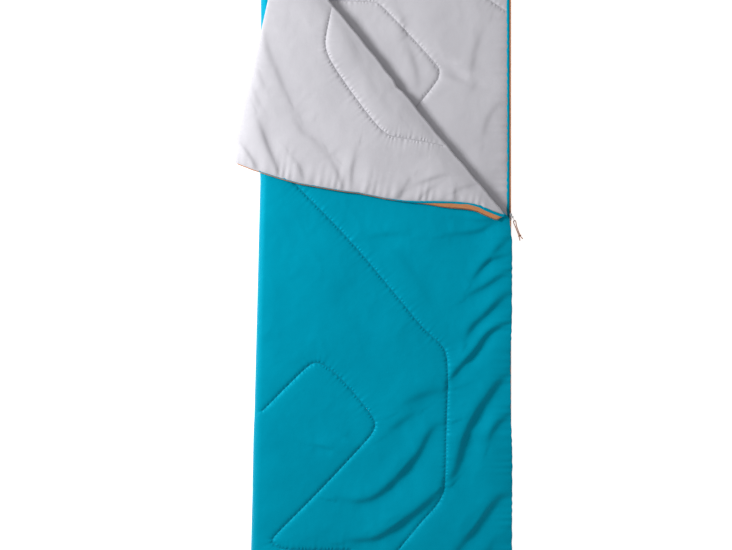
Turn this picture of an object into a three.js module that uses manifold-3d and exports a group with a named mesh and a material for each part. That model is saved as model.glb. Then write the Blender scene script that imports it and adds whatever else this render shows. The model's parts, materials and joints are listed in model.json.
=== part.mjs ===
// A rectangular quilted sleeping bag, unzipped from the head down to its slider, with the corner of
// the front layer folded back so that its lining shows.
//
// Millimetres. +X points to the zip side, +Y to the head and +Z up. The origin lies under the middle
// of the back layer, on the surface that the bag rests on.
//
// Each layer is a quilt: a shell skin outside, a lining skin inside and batting between them. The
// back and front layers are joined by the fold along the left edge. One zip runs along the right
// edge and round the foot; each half is a woven tape with a coil on its free edge.
import * as THREE from "three";
import { mergeVertices } from "three/addons/utils/BufferGeometryUtils.js";
import Module from "manifold-3d";

const wasm = await Module();
wasm.setup();

// ---------------------------------------------------------------- driving dimensions

const WIDTH = 720;
const LENGTH = 1900;
const QUILT_LOFT = 16.5; // full thickness of one quilted layer
const CAVITY = 8; // clear height between the two linings
const SKIN = 1.2; // shell or lining cloth, with the batting face bonded to it
const CLEARANCE = 0.3; // between neighbouring pieces

const SLIDER_Y = 147; // where the slider stands, and where the crease meets the zip edge
const CREASE_TOP_X = -294; // where the crease meets the head edge
const CREASE_SETBACK = 0.5; // each side of the crease line

const FOOT_ZIP_RADIUS = 45;
const SMALL_RADIUS = 7; // more than the first step of SWELL, so that the skins stay apart at corners

// How a quilt swells from its seam: [distance in from the edge, half of the thickness].
const SWELL = [
  [0, 2.0],
  [6, 4.2],
  [16, 6.2],
  [32, 7.6],
  [60, QUILT_LOFT / 2],
];
const SEAM_HALF_GAP = 0.15; // the two skins nearly meet at the seam
const BLOCK_REACH = 5; // how far a cutting block goes past the edge

// The quilting stitches, as grooves pressed into the skins.
const STITCH_WIDTH = 2.6;
const STITCH_DEPTH = 0.6;

// The zip, in the plane across its edge: u outward from the quilt's edge, z up.
const TAPE_THICKNESS = 0.6;
const TAPE_SEAM_U = 0.6;
const CHAIN_U = 5.5; // the coil's middle
const TAPE_BEND_Z = 14.5;
const COIL_HALF_WIDTH = 1.5;
const COIL_HEIGHT = 2.2;
const COIL_CORNER = 0.4;
const COILS_APART = 2.2; // room for the slider's diamond
const TAPE_HEAD_Y = 946;
const COIL_HEAD_Y = 937;
const TAPE_FOOT_X = -354;
const COIL_FOOT_X = -345;
const STOP_LENGTH = 6;

const SLIDER_LENGTH = 20;
const SLIDER_NECK = 9.6; // height of the plates at the closing end
const SLIDER_SHOULDER = 11.4; // and at the opening end
const PLATE = 1.2;
const PLATE_GAP = 4.2;
const TAPE_SLOT = 1.6;
const DIAMOND_HEIGHT = 1.6;
const DIAMOND_LENGTH = 7;
const LUG_THICKNESS = 1.4;
const LUG_REACH = 4.4;
const LUG_LENGTH = 4.5;
const PIN_RADIUS = 0.8;
const PIN_REACH = 2.6; // from the plate's face to the pin's axis

const PULL_HEADING = THREE.MathUtils.degToRad(-68.8); // in the XY plane, from +X
const TAB_EYE = 11.5; // from the pin to the eye's centre
const TAB_THICKNESS = 1.2;
const TAB_NECK = 3.2;
const TAB_HEAD_RADIUS = 3.1;
const EYE_RADIUS = 1.7;
const KNUCKLE_RADIUS = 1.5;
const CORD_RADIUS = 1.3;

const STRIP_SETBACK = 0.2; // of the left fold from its own hinge line

// ---------------------------------------------------------------- what follows from them

const RIGHT = WIDTH / 2;
const HEAD = LENGTH / 2;
const BACK_MID = QUILT_LOFT / 2;
const CHAIN_Z = QUILT_LOFT + CAVITY / 2; // the plane in which the two layers meet
const FRONT_MID = 2 * CHAIN_Z - BACK_MID;
const FRONT_TOP = 2 * CHAIN_Z;
const CREASE_Z = FRONT_TOP + CLEARANCE; // the folded corner rests just above the front
const CREASE_FOOT = new THREE.Vector2(RIGHT, SLIDER_Y);
const CREASE_HEAD = new THREE.Vector2(CREASE_TOP_X, HEAD);
const CREASE_ALONG = CREASE_HEAD.clone().sub(CREASE_FOOT).normalize();
const CREASE_NORMAL = new THREE.Vector2(CREASE_ALONG.y, -CREASE_ALONG.x); // towards the corner
const COIL_LOW = CHAIN_Z - COILS_APART / 2 - COIL_HEIGHT;
const TAPE_TOP = COIL_LOW - CLEARANCE;
const SLIDER_FOOT_Y = SLIDER_Y - SLIDER_LENGTH / 2;
const SLIDER_HEAD_Y = SLIDER_Y + SLIDER_LENGTH / 2;
const PIN_X = RIGHT + CHAIN_U + PLATE_GAP / 2 + PLATE + PIN_REACH;
const PIN_Y = SLIDER_Y - 0.8;

// ---------------------------------------------------------------- materials

const cloth = (color) => new THREE.MeshStandardMaterial({ color, roughness: 0.8, metalness: 0 });
const TEAL = cloth(0x0093b2);
const GREY = cloth(0xc9c6cc);
const FILL = cloth(0xf2f1ec);
const ORANGE_TAPE = cloth(0xc8743a);
const ORANGE_CORD = cloth(0xd4702a);
const COIL = new THREE.MeshStandardMaterial({ color: 0xb96a35, roughness: 0.5, metalness: 0 });
const METAL = new THREE.MeshStandardMaterial({ color: 0xa9acb0, roughness: 0.3, metalness: 1 });

// ---------------------------------------------------------------- geometry helpers

// A closed geometry through a row of rings with the same number of points, with flat ends. flatten
// gives each point's place in the plane of the ends.
function loft(rings, flatten) {
  const count = rings[0].length;
  const index = [];
  for (let row = 0; row + 1 < rings.length; row++)
    for (let i = 0; i < count; i++) {
      const a = row * count + i;
      const b = row * count + ((i + 1) % count);
      index.push(a, b, b + count, a, b + count, a + count);
    }
  const last = (rings.length - 1) * count;
  const lead = rings[0].map(flatten);
  const tail = rings[rings.length - 1].map(flatten);
  const leadTurns = THREE.ShapeUtils.isClockWise(lead);
  for (const [a, b, c] of THREE.ShapeUtils.triangulateShape(lead, []))
    index.push(...(turnsClockwise(lead, a, b, c) === leadTurns ? [a, c, b] : [a, b, c]));
  for (const [a, b, c] of THREE.ShapeUtils.triangulateShape(tail, [])) {
    const [first, second] = turnsClockwise(tail, a, b, c) === leadTurns ? [b, c] : [c, b];
    index.push(last + a, last + first, last + second);
  }
  const geometry = new THREE.BufferGeometry().setFromPoints(rings.flat());
  geometry.setIndex(index);
  return facingOut(geometry);
}

function turnsClockwise(points, a, b, c) {
  return THREE.ShapeUtils.isClockWise([points[a], points[b], points[c]]);
}

function facingOut(geometry) {
  const p = geometry.getAttribute("position");
  const corner = (i) => new THREE.Vector3().fromBufferAttribute(p, geometry.index.getX(i));
  let volume = 0;
  for (let i = 0; i < geometry.index.count; i += 3)
    volume += corner(i).dot(corner(i + 1).cross(corner(i + 2)));
  if (volume < 0) geometry.setIndex(Array.from(geometry.index.array).reverse());
  return geometry;
}

function toSolid(geometry) {
  const bare = new THREE.BufferGeometry();
  bare.setAttribute("position", geometry.getAttribute("position").clone());
  bare.setIndex(geometry.index);
  const merged = mergeVertices(bare, 1e-4);
  return new wasm.Manifold(
    new wasm.Mesh({
      numProp: 3,
      vertProperties: Float32Array.from(merged.attributes.position.array),
      triVerts: Uint32Array.from(merged.index.array),
    }),
  );
}

function toGeometry(solid) {
  const mesh = solid.getMesh();
  const geometry = new THREE.BufferGeometry();
  geometry.setAttribute("position", new THREE.BufferAttribute(mesh.vertProperties, 3));
  geometry.setIndex(new THREE.BufferAttribute(mesh.triVerts, 1));
  return geometry;
}

const joined = (...geometries) =>
  toGeometry(geometries.map(toSolid).reduce((whole, next) => whole.add(next)));
const cut = (geometry, ...tools) =>
  toGeometry(tools.map(toSolid).reduce((rest, tool) => rest.subtract(tool), toSolid(geometry)));

function box(low, high) {
  const size = high.map((value, axis) => value - low[axis]);
  return new THREE.BoxGeometry(...size).translate(...low.map((value, axis) => value + size[axis] / 2));
}

function piece(name, geometry, material) {
  const mesh = new THREE.Mesh(geometry, material);
  mesh.name = name;
  return mesh;
}

// ---------------------------------------------------------------- quilted layers

// Panels, as corners in order with the radius of each. creased marks a side, from its corner to the
// next, that is the fold across the front instead of a sewn edge.
const BACK_PANEL = [
  { x: -RIGHT, y: -HEAD, radius: SMALL_RADIUS },
  { x: RIGHT, y: -HEAD, radius: FOOT_ZIP_RADIUS },
  { x: RIGHT, y: HEAD, radius: SMALL_RADIUS },
  { x: -RIGHT, y: HEAD, radius: SMALL_RADIUS },
];
const FRONT_PANEL = [
  { x: -RIGHT, y: -HEAD, radius: SMALL_RADIUS },
  { x: RIGHT, y: -HEAD, radius: FOOT_ZIP_RADIUS },
  { x: RIGHT, y: SLIDER_Y, radius: 0, creased: true },
  { x: CREASE_TOP_X, y: HEAD, radius: 0 },
  { x: -RIGHT, y: HEAD, radius: SMALL_RADIUS },
];
const FLAP_PANEL = [
  { x: RIGHT, y: SLIDER_Y, radius: 0 },
  { x: RIGHT, y: HEAD, radius: SMALL_RADIUS },
  { x: CREASE_TOP_X, y: HEAD, radius: 0, creased: true },
];

// The panel's outline moved in by inset on its sewn sides and by setback on its crease.
function outline(panel, inset, setback) {
  const sides = panel.map((corner, i) => {
    const next = panel[(i + 1) % panel.length];
    const along = new THREE.Vector2(next.x - corner.x, next.y - corner.y).normalize();
    const inward = new THREE.Vector2(-along.y, along.x);
    const by = corner.creased ? setback : inset;
    return { along, from: new THREE.Vector2(corner.x, corner.y).addScaledVector(inward, by) };
  });
  const points = [];
  panel.forEach((corner, i) => {
    const before = sides[(i + panel.length - 1) % panel.length];
    const after = sides[i];
    const gap = after.from.clone().sub(before.from);
    const reach = gap.cross(after.along) / before.along.cross(after.along);
    const at = before.from.clone().addScaledVector(before.along, reach);
    if (!corner.radius) points.push(at);
    else points.push(...rounded(at, before.along, after.along, Math.max(corner.radius - inset, 1)));
  });
  return points;
}

const CORNER_STEPS = 6;

// The arc that rounds a convex corner, from the side that arrives along one way to the other.
function rounded(at, arriving, leaving, radius) {
  const turn = Math.acos(arriving.dot(leaving));
  const start = at.clone().addScaledVector(arriving, -radius * Math.tan(turn / 2));
  const centre = start.clone().add(new THREE.Vector2(-arriving.y, arriving.x).multiplyScalar(radius));
  const out = start.clone().sub(centre);
  return Array.from({ length: CORNER_STEPS + 1 }, (_, i) =>
    out.clone().rotateAround(new THREE.Vector2(), (turn * i) / CORNER_STEPS).add(centre),
  );
}

// A solid of one panel through rings given as [inset, z].
function panelSolid(panel, steps, setback) {
  const rings = steps.map(([inset, z]) =>
    outline(panel, inset, setback).map((p) => new THREE.Vector3(p.x, p.y, z)),
  );
  return loft(rings, (p) => new THREE.Vector2(p.x, p.y));
}

// The whole quilt's lens: full at the middle and at the crease, thin at the sewn edges.
function lens(panel, mid, setback, thinner = 0) {
  const half = (thinner ? SWELL.slice(1) : SWELL).map(([inset, height]) => [inset, height - thinner]);
  const lower = half.map(([inset, height]) => [inset, mid - height]).reverse();
  const upper = half.map(([inset, height]) => [inset, mid + height]);
  return panelSolid(panel, [...lower, ...upper], setback);
}

const batting = (panel, mid) => lens(panel, mid, CREASE_SETBACK + SKIN + CLEARANCE, SKIN + CLEARANCE);

// One skin, on the upper side of the quilt for side 1 and the lower for side -1: the lens less a
// block that takes in the batting, the other skin and all beyond them. Where the block stops short
// of the crease by more than the lens does, the skin goes on round the crease as a wall.
function skin(panel, mid, side, setback, blockSetback) {
  const [firstInset, firstHalf] = SWELL[1];
  const rise = (firstHalf - SKIN - SEAM_HALF_GAP) / firstInset;
  const block = [
    ...SWELL.slice(1).reverse().map(([inset, half]) => [inset, mid + side * (half - SKIN)]),
    [-BLOCK_REACH, mid + side * (SEAM_HALF_GAP - rise * BLOCK_REACH)],
    [-BLOCK_REACH, mid - side * QUILT_LOFT],
  ];
  return cut(lens(panel, mid, setback), panelSolid(panel, block, blockSetback));
}

// One side of a strip of the given width along a line, with mitred corners.
function strip(line, width) {
  const points = line.map(([x, y]) => new THREE.Vector2(x, y));
  const ways = points.slice(1).map((point, i) => point.clone().sub(points[i]).normalize());
  return points.map((point, i) => {
    const arriving = ways[Math.max(i - 1, 0)];
    const leaving = ways[Math.min(i, ways.length - 1)];
    const along = arriving.clone().add(leaving).normalize();
    const reach = width / 2 / along.dot(leaving);
    return point.clone().add(new THREE.Vector2(-along.y, along.x).multiplyScalar(reach));
  });
}

// Stitch grooves along lines of [x, y] corners, into the face of a skin that lies at z.
function stitched(geometry, lines, z) {
  const grooves = lines.map((line) => {
    const sides = [...strip(line, STITCH_WIDTH), ...strip(line, -STITCH_WIDTH).reverse()];
    return new THREE.ExtrudeGeometry(new THREE.Shape(sides), {
      depth: 2 * STITCH_DEPTH,
      bevelEnabled: false,
    }).translate(0, 0, z - STITCH_DEPTH);
  });
  return grooves.length ? cut(geometry, ...grooves) : geometry;
}

const FRONT_SHELL_STITCHES = [
  [[-290, 280], [-98, 80], [104, -136], [153, -216], [176, -251], [176, -626], [161, -660], [-30, -884]],
  [[-290, -354], [-213, -282], [-180, -272], [-46, -405], [-28, -440], [-40, -490], [-290, -760]],
];
const FLAP_STITCHES = [
  [[-150, 766], [-17, 766], [72, 692], [181, 582], [202, 533], [202, 400]],
];
const FRONT_LINING_STITCHES = [
  [[202, 290], [202, 158], [60, -10], [-110, -200], [-110, -560], [60, -760]],
];
const BACK_LINING_STITCHES = [
  [[-138, 771], [-26, 771], [156, 584], [161, 561], [-60, 300], [-60, -60], [161, -320], [-60, -580]],
];

// side is 1 where the shell is on top and -1 where it is underneath.
function quilt(name, panel, mid, side, shellStitches, liningStitches) {
  const shell = skin(panel, mid, side, CREASE_SETBACK + SKIN + CLEARANCE, -BLOCK_REACH);
  const lining = skin(panel, mid, -side, CREASE_SETBACK, CREASE_SETBACK + SKIN);
  const group = new THREE.Group();
  group.add(
    piece(`${name}_shell`, stitched(shell, shellStitches, mid + (side * QUILT_LOFT) / 2), TEAL),
    piece(`${name}_batting`, batting(panel, mid), FILL),
    piece(`${name}_lining`, stitched(lining, liningStitches, mid - (side * QUILT_LOFT) / 2), GREY),
  );
  return group;
}

// The cloth that closes the left side, half on each layer, with the fold between the halves.
function leftFold(name, lowZ, highZ) {
  const x = -RIGHT + STRIP_SETBACK;
  const end = HEAD - SMALL_RADIUS;
  return piece(name, box([x, -end, lowZ], [x + SKIN, end, highZ]), TEAL);
}

// ---------------------------------------------------------------- zip

// Places along the quilt's edge, each with the way out: down the right side from fromY, then round
// the corner and along the foot to toX.
function zipRun(fromY, toX) {
  const places = [{ at: new THREE.Vector2(RIGHT, fromY), out: new THREE.Vector2(1, 0) }];
  const centre = new THREE.Vector2(RIGHT - FOOT_ZIP_RADIUS, -HEAD + FOOT_ZIP_RADIUS);
  const steps = 10;
  for (let i = 0; i <= steps; i++) {
    const angle = (-Math.PI / 2) * (i / steps);
    const out = new THREE.Vector2(Math.cos(angle), Math.sin(angle));
    places.push({ at: centre.clone().addScaledVector(out, FOOT_ZIP_RADIUS), out });
  }
  places.push({ at: new THREE.Vector2(toX, -HEAD), out: new THREE.Vector2(0, -1) });
  return places;
}

function sideRun(fromY, toY) {
  const out = new THREE.Vector2(1, 0);
  return [fromY, toY].map((y) => ({ at: new THREE.Vector2(RIGHT, y), out }));
}

// A section of [u, z] points carried along a run.
function along(run, section) {
  const rings = run.map(({ at, out }) =>
    section.map(([u, z]) => new THREE.Vector3(at.x + out.x * u, at.y + out.y * u, z)),
  );
  let ring = 0;
  const flat = section.map(([u, z]) => new THREE.Vector2(u, z));
  return loft(rings, () => flat[ring++ % flat.length]);
}

// The front's half of the zip is the back's turned over in the plane of the chain.
const overChain = (section) => section.map(([u, z]) => [u, 2 * CHAIN_Z - z]).reverse();

// The tape rises from the seam to the chain, then stands up beside it.
function tapeSection() {
  const half = TAPE_THICKNESS / 2;
  const slope = new THREE.Vector2(CHAIN_U - TAPE_SEAM_U, TAPE_BEND_Z - BACK_MID).normalize();
  const side = new THREE.Vector2(slope.y, -slope.x).multiplyScalar(half);
  const lift = half * Math.tan(slope.angleTo(new THREE.Vector2(0, 1)) / 2);
  return [
    [TAPE_SEAM_U + side.x, BACK_MID + side.y],
    [CHAIN_U + half, TAPE_BEND_Z - lift],
    [CHAIN_U + half, TAPE_TOP],
    [CHAIN_U - half, TAPE_TOP],
    [CHAIN_U - half, TAPE_BEND_Z + lift],
    [TAPE_SEAM_U - side.x, BACK_MID - side.y],
  ];
}

function coilSection() {
  const [left, right] = [CHAIN_U - COIL_HALF_WIDTH, CHAIN_U + COIL_HALF_WIDTH];
  const high = COIL_LOW + COIL_HEIGHT;
  return [
    [left + COIL_CORNER, COIL_LOW],
    [right - COIL_CORNER, COIL_LOW],
    [right, COIL_LOW + COIL_CORNER],
    [right, high - COIL_CORNER],
    [right - COIL_CORNER, high],
    [left + COIL_CORNER, high],
    [left, high - COIL_CORNER],
    [left, COIL_LOW + COIL_CORNER],
  ];
}

function zipHalf(name, tapeRun, coilRun, turned) {
  const placed = turned ? overChain : (section) => section;
  const group = new THREE.Group();
  group.add(
    piece(`${name}_zip_tape`, along(tapeRun, placed(tapeSection())), ORANGE_TAPE),
    piece(`${name}_zip_coil`, along(coilRun, placed(coilSection())), COIL),
  );
  return group;
}

// A stop is a small clamp on the coil line, just past the coil's head end.
function topStop(name, turned) {
  const low = turned ? 2 * CHAIN_Z - COIL_LOW - COIL_HEIGHT : COIL_LOW;
  const y = COIL_HEAD_Y + CLEARANCE;
  const x = RIGHT + CHAIN_U;
  const half = COIL_HALF_WIDTH + 0.2;
  return piece(name, box([x - half, y, low], [x + half, y + STOP_LENGTH, low + COIL_HEIGHT]), METAL);
}

// The bottom stop ties both coils at the far end of the foot.
function bottomStop() {
  const x = COIL_FOOT_X - CLEARANCE;
  const y = -HEAD - CHAIN_U;
  const half = COIL_HALF_WIDTH + 0.2;
  const high = 2 * CHAIN_Z - COIL_LOW;
  return piece(
    "zip_bottom_stop",
    box([x - STOP_LENGTH, y - half, COIL_LOW], [x, y + half, high]),
    METAL,
  );
}

// ---------------------------------------------------------------- slider

// An outline of [y, z] points made into a plate that stands across X.
function plateAcrossX(points, fromX, thickness) {
  const shape = new THREE.Shape(points.map(([y, z]) => new THREE.Vector2(y, z)));
  return new THREE.ExtrudeGeometry(shape, { depth: thickness, bevelEnabled: false })
    .rotateX(Math.PI / 2)
    .rotateZ(Math.PI / 2)
    .translate(fromX, 0, 0);
}

function upright(radius, lowZ, highZ, sides) {
  return new THREE.CylinderGeometry(radius, radius, highZ - lowZ, sides)
    .rotateX(Math.PI / 2)
    .translate(PIN_X, PIN_Y, (lowZ + highZ) / 2);
}

function sliderBody() {
  const inner = RIGHT + CHAIN_U - PLATE_GAP / 2;
  const outer = RIGHT + CHAIN_U + PLATE_GAP / 2;
  const [neck, shoulder] = [SLIDER_NECK / 2, SLIDER_SHOULDER / 2];
  const plate = [
    [SLIDER_FOOT_Y, CHAIN_Z - neck + 1],
    [SLIDER_FOOT_Y + 1, CHAIN_Z - neck],
    [SLIDER_Y + 1, CHAIN_Z - shoulder],
    [SLIDER_HEAD_Y - 1.5, CHAIN_Z - shoulder],
    [SLIDER_HEAD_Y, CHAIN_Z - shoulder + 1.5],
    [SLIDER_HEAD_Y, CHAIN_Z + shoulder - 1.5],
    [SLIDER_HEAD_Y - 1.5, CHAIN_Z + shoulder],
    [SLIDER_Y + 1, CHAIN_Z + shoulder],
    [SLIDER_FOOT_Y + 1, CHAIN_Z + neck],
    [SLIDER_FOOT_Y, CHAIN_Z + neck - 1],
  ];
  const diamond = [
    [SLIDER_HEAD_Y - DIAMOND_LENGTH, CHAIN_Z],
    [SLIDER_HEAD_Y - DIAMOND_LENGTH + 2, CHAIN_Z - DIAMOND_HEIGHT / 2],
    [SLIDER_HEAD_Y - 0.5, CHAIN_Z - DIAMOND_HEIGHT / 2],
    [SLIDER_HEAD_Y - 0.5, CHAIN_Z + DIAMOND_HEIGHT / 2],
    [SLIDER_HEAD_Y - DIAMOND_LENGTH + 2, CHAIN_Z + DIAMOND_HEIGHT / 2],
  ];
  const parts = [
    plateAcrossX(plate, inner - PLATE, PLATE),
    plateAcrossX(plate, outer, PLATE),
    plateAcrossX(diamond, inner - PLATE / 2, PLATE_GAP + PLATE),
  ];
  // Four flanges turn in from the plates and leave a slot for each tape.
  const flangeLow = CHAIN_Z - shoulder;
  const flangeFrom = SLIDER_Y + 1;
  const slot = TAPE_SLOT / 2;
  const chain = RIGHT + CHAIN_U;
  for (const low of [flangeLow, 2 * CHAIN_Z - flangeLow - PLATE]) {
    parts.push(box([inner - PLATE / 2, flangeFrom, low], [chain - slot, SLIDER_HEAD_Y - 1.5, low + PLATE]));
    parts.push(box([chain + slot, flangeFrom, low], [outer + PLATE / 2, SLIDER_HEAD_Y - 1.5, low + PLATE]));
  }
  for (const side of [-1, 1]) {
    const far = CHAIN_Z + side * lugFace();
    const near = far - side * LUG_THICKNESS;
    parts.push(
      box(
        [outer + PLATE / 2, PIN_Y - LUG_LENGTH / 2, Math.min(near, far)],
        [outer + PLATE + LUG_REACH, PIN_Y + LUG_LENGTH / 2, Math.max(near, far)],
      ),
    );
  }
  return cut(joined(...parts), upright(PIN_RADIUS + 0.1, 0, FRONT_TOP, 24));
}

const lugFace = () => TAB_NECK / 2 + CLEARANCE + LUG_THICKNESS;

function sliderPin() {
  return upright(PIN_RADIUS, CHAIN_Z - lugFace(), CHAIN_Z + lugFace(), 24);
}

// ---------------------------------------------------------------- pull

// Pull pieces are made about the pin, heading along +X, and turned to their heading as a group.
// s runs from the pin along the pull, q across it.
function pullTab() {
  const halfNeck = TAB_NECK / 2;
  const meet = TAB_EYE - Math.sqrt(TAB_HEAD_RADIUS ** 2 - halfNeck ** 2);
  const spread = Math.asin(halfNeck / TAB_HEAD_RADIUS);
  const shape = new THREE.Shape();
  shape.moveTo(1, -halfNeck);
  shape.lineTo(meet, -halfNeck);
  shape.absarc(TAB_EYE, 0, TAB_HEAD_RADIUS, Math.PI + spread, 3 * Math.PI - spread, false);
  shape.lineTo(1, halfNeck);
  shape.closePath();
  const eye = new THREE.Path().absarc(TAB_EYE, 0, EYE_RADIUS, 0, 2 * Math.PI, true);
  shape.holes.push(eye);
  const tab = new THREE.ExtrudeGeometry(shape, {
    depth: TAB_THICKNESS,
    bevelEnabled: false,
    curveSegments: 16,
  })
    .rotateX(Math.PI / 2)
    .translate(0, TAB_THICKNESS / 2, 0);
  const barrel = (radius, height) =>
    new THREE.CylinderGeometry(radius, radius, height, 24).rotateX(Math.PI / 2);
  return cut(joined(tab, barrel(KNUCKLE_RADIUS, TAB_NECK)), barrel(PIN_RADIUS + 0.15, 2 * TAB_NECK));
}

// One strand of the doubled cord as [s past the eye, q, height above the floor]: out of the eye,
// down to the floor, along it, through the knot and out as a tail.
const STRANDS = {
  a: [
    [0, 0.4, 20.5], [0, 1.5, 20.5], [1.4, 3.0, 19.9], [6, 3.2, 15.4], [13, 2.3, 7.4], [21, 1.8, 2.5],
    [30, 1.7, 1.5], [39, 1.7, 1.7], [46, 1.7, 3.2], [52, 3.0, 1.8], [58, 5.6, 1.5],
  ],
  b: [
    [0, -0.4, 20.5], [0, -1.5, 20.5], [1.4, -3.0, 19.9], [6, -3.2, 15.4], [13, -2.3, 7.4], [21, -1.8, 2.5],
    [30, -1.7, 1.5], [39, -1.7, 1.7], [46, -1.7, 3.2], [52, -2.6, 1.8], [60, -4.2, 1.5],
  ],
};
const KNOT = { s: 46, z: 3.7, radii: [5, 4.4, 3.4] };

function strand(name, radius) {
  const points = STRANDS[name].map(([s, q, z]) => new THREE.Vector3(TAB_EYE + s, q, z - CHAIN_Z));
  const section = new THREE.Shape().absarc(0, 0, radius, 0, 2 * Math.PI, false);
  return new THREE.ExtrudeGeometry(section, {
    steps: 36,
    curveSegments: 4,
    bevelEnabled: false,
    extrudePath: new THREE.CatmullRomCurve3(points, false, "centripetal"),
  });
}

function knot() {
  const ball = new THREE.SphereGeometry(1, 20, 12)
    .scale(...KNOT.radii)
    .translate(TAB_EYE + KNOT.s, 0, KNOT.z - CHAIN_Z);
  return cut(ball, strand("a", CORD_RADIUS + CLEARANCE), strand("b", CORD_RADIUS + CLEARANCE));
}

function pull() {
  const group = new THREE.Group();
  group.position.set(PIN_X, PIN_Y, CHAIN_Z);
  group.rotation.z = PULL_HEADING;
  group.add(
    piece("pull_tab", pullTab(), METAL),
    piece("pull_cord_a", strand("a", CORD_RADIUS), ORANGE_CORD),
    piece("pull_cord_b", strand("b", CORD_RADIUS), ORANGE_CORD),
    piece("pull_knot", knot(), ORANGE_CORD),
  );
  return group;
}

// ---------------------------------------------------------------- the bag

function back() {
  const group = new THREE.Group();
  group.add(
    quilt("back", BACK_PANEL, BACK_MID, -1, [], BACK_LINING_STITCHES),
    leftFold("back_left_fold", BACK_MID + 2.7, CHAIN_Z - STRIP_SETBACK),
    zipHalf("back", zipRun(TAPE_HEAD_Y, TAPE_FOOT_X), zipRun(COIL_HEAD_Y, COIL_FOOT_X), false),
    topStop("back_top_stop", false),
    bottomStop(),
  );
  return group;
}

function front() {
  const start = SLIDER_FOOT_Y - 1;
  const group = new THREE.Group();
  group.add(
    quilt("front", FRONT_PANEL, FRONT_MID, 1, FRONT_SHELL_STITCHES, FRONT_LINING_STITCHES),
    leftFold("front_left_fold", CHAIN_Z + STRIP_SETBACK, FRONT_MID - 2.7),
    zipHalf("front", zipRun(start, TAPE_FOOT_X), zipRun(start, COIL_FOOT_X), true),
  );
  return group;
}

// The corner of the front, made closed and then turned half a turn about the crease.
function flap() {
  const start = SLIDER_HEAD_Y + 10;
  const group = new THREE.Group();
  const axis = new THREE.Vector3(CREASE_ALONG.x, CREASE_ALONG.y, 0);
  const foot = new THREE.Vector3(CREASE_FOOT.x, CREASE_FOOT.y, CREASE_Z);
  group.quaternion.setFromAxisAngle(axis, Math.PI);
  group.position.copy(foot).sub(foot.clone().applyQuaternion(group.quaternion));
  group.add(
    quilt("flap", FLAP_PANEL, FRONT_MID, 1, FLAP_STITCHES, FLAP_STITCHES),
    zipHalf("flap", sideRun(TAPE_HEAD_Y, start), sideRun(COIL_HEAD_Y, start), true),
    topStop("flap_top_stop", true),
  );
  return group;
}

function slider() {
  const group = new THREE.Group();
  group.add(piece("slider_body", sliderBody(), METAL), piece("slider_pin", sliderPin(), METAL));
  return group;
}

const bag = new THREE.Group();
bag.add(back(), front(), flap(), slider(), pull());

export default bag;
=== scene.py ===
"""Looks of a rectangular quilted sleeping bag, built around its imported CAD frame.

Metres, in the CAD's own frame: +X to the zip side, +Y to the head and +Z up. The bag lies unzipped down to
its slider, with the head corner of its front folded back over a crease, so that the lining shows.

Each skin is made as its flat cut, a fine grid of cloth clipped to the cut's outline. The quilting, the
puckers beside it and the wrinkles are heights over that cut, and the cut is then wrapped round the left side
or folded over the crease.
"""

import math

import bmesh
import bpy
import numpy as np
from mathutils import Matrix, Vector
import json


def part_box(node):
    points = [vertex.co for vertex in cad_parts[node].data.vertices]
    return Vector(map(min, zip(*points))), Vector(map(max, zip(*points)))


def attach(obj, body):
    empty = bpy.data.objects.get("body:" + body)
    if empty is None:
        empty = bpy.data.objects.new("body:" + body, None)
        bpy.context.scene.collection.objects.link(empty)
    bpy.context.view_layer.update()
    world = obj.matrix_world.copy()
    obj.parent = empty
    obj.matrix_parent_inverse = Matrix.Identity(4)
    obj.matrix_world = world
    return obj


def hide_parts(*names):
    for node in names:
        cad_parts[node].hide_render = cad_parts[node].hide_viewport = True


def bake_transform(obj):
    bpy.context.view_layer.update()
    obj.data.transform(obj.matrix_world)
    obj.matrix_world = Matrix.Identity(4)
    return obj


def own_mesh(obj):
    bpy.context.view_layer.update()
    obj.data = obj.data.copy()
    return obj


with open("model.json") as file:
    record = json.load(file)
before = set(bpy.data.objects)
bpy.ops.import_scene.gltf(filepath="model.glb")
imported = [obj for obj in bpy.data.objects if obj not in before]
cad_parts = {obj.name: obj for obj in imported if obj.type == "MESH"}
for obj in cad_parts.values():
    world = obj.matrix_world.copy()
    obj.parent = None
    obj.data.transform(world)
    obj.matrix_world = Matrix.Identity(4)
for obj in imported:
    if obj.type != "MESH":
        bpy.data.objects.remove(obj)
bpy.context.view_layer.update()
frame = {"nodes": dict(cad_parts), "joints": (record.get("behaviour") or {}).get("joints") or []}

# ---------------------------------------------------------------- sizes from the frame

JOINTS = {joint["name"]: joint for joint in frame["joints"]}
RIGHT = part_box("back_shell")[1].x
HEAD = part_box("back_shell")[1].y
BACK_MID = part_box("back_lining")[1].z / 2
HALF_LOFT = BACK_MID
CHAIN_Z = JOINTS["front_open"]["pos_m"][2]
FRONT_MID = 2 * CHAIN_Z - BACK_MID
FRONT_TOP = 2 * CHAIN_Z
CREASE_Z = JOINTS["flap_fold"]["pos_m"][2]
FOLDED_MID = 2 * CREASE_Z - FRONT_MID
CREASE_FOOT = np.array(JOINTS["flap_fold"]["pos_m"][:2])
CREASE_ALONG = np.array(JOINTS["flap_fold"]["axis"][:2])
CREASE_NORMAL = np.array([CREASE_ALONG[1], -CREASE_ALONG[0]])  # towards the corner that folds
SLIDER_LOW, SLIDER_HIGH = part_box("slider_body")
SLIDER_Y = CREASE_FOOT[1]
COIL_HEAD_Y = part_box("back_zip_coil")[1].y
TAPE_HEAD_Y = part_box("back_zip_tape")[1].y
COIL_FOOT_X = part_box("back_zip_coil")[0].x
TAPE_FOOT_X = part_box("back_zip_tape")[0].x
FLAP_ZIP_Y = SLIDER_HIGH.y + 0.010  # where the flap's own half of the zip starts

# ---------------------------------------------------------------- how the cloth lies

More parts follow.
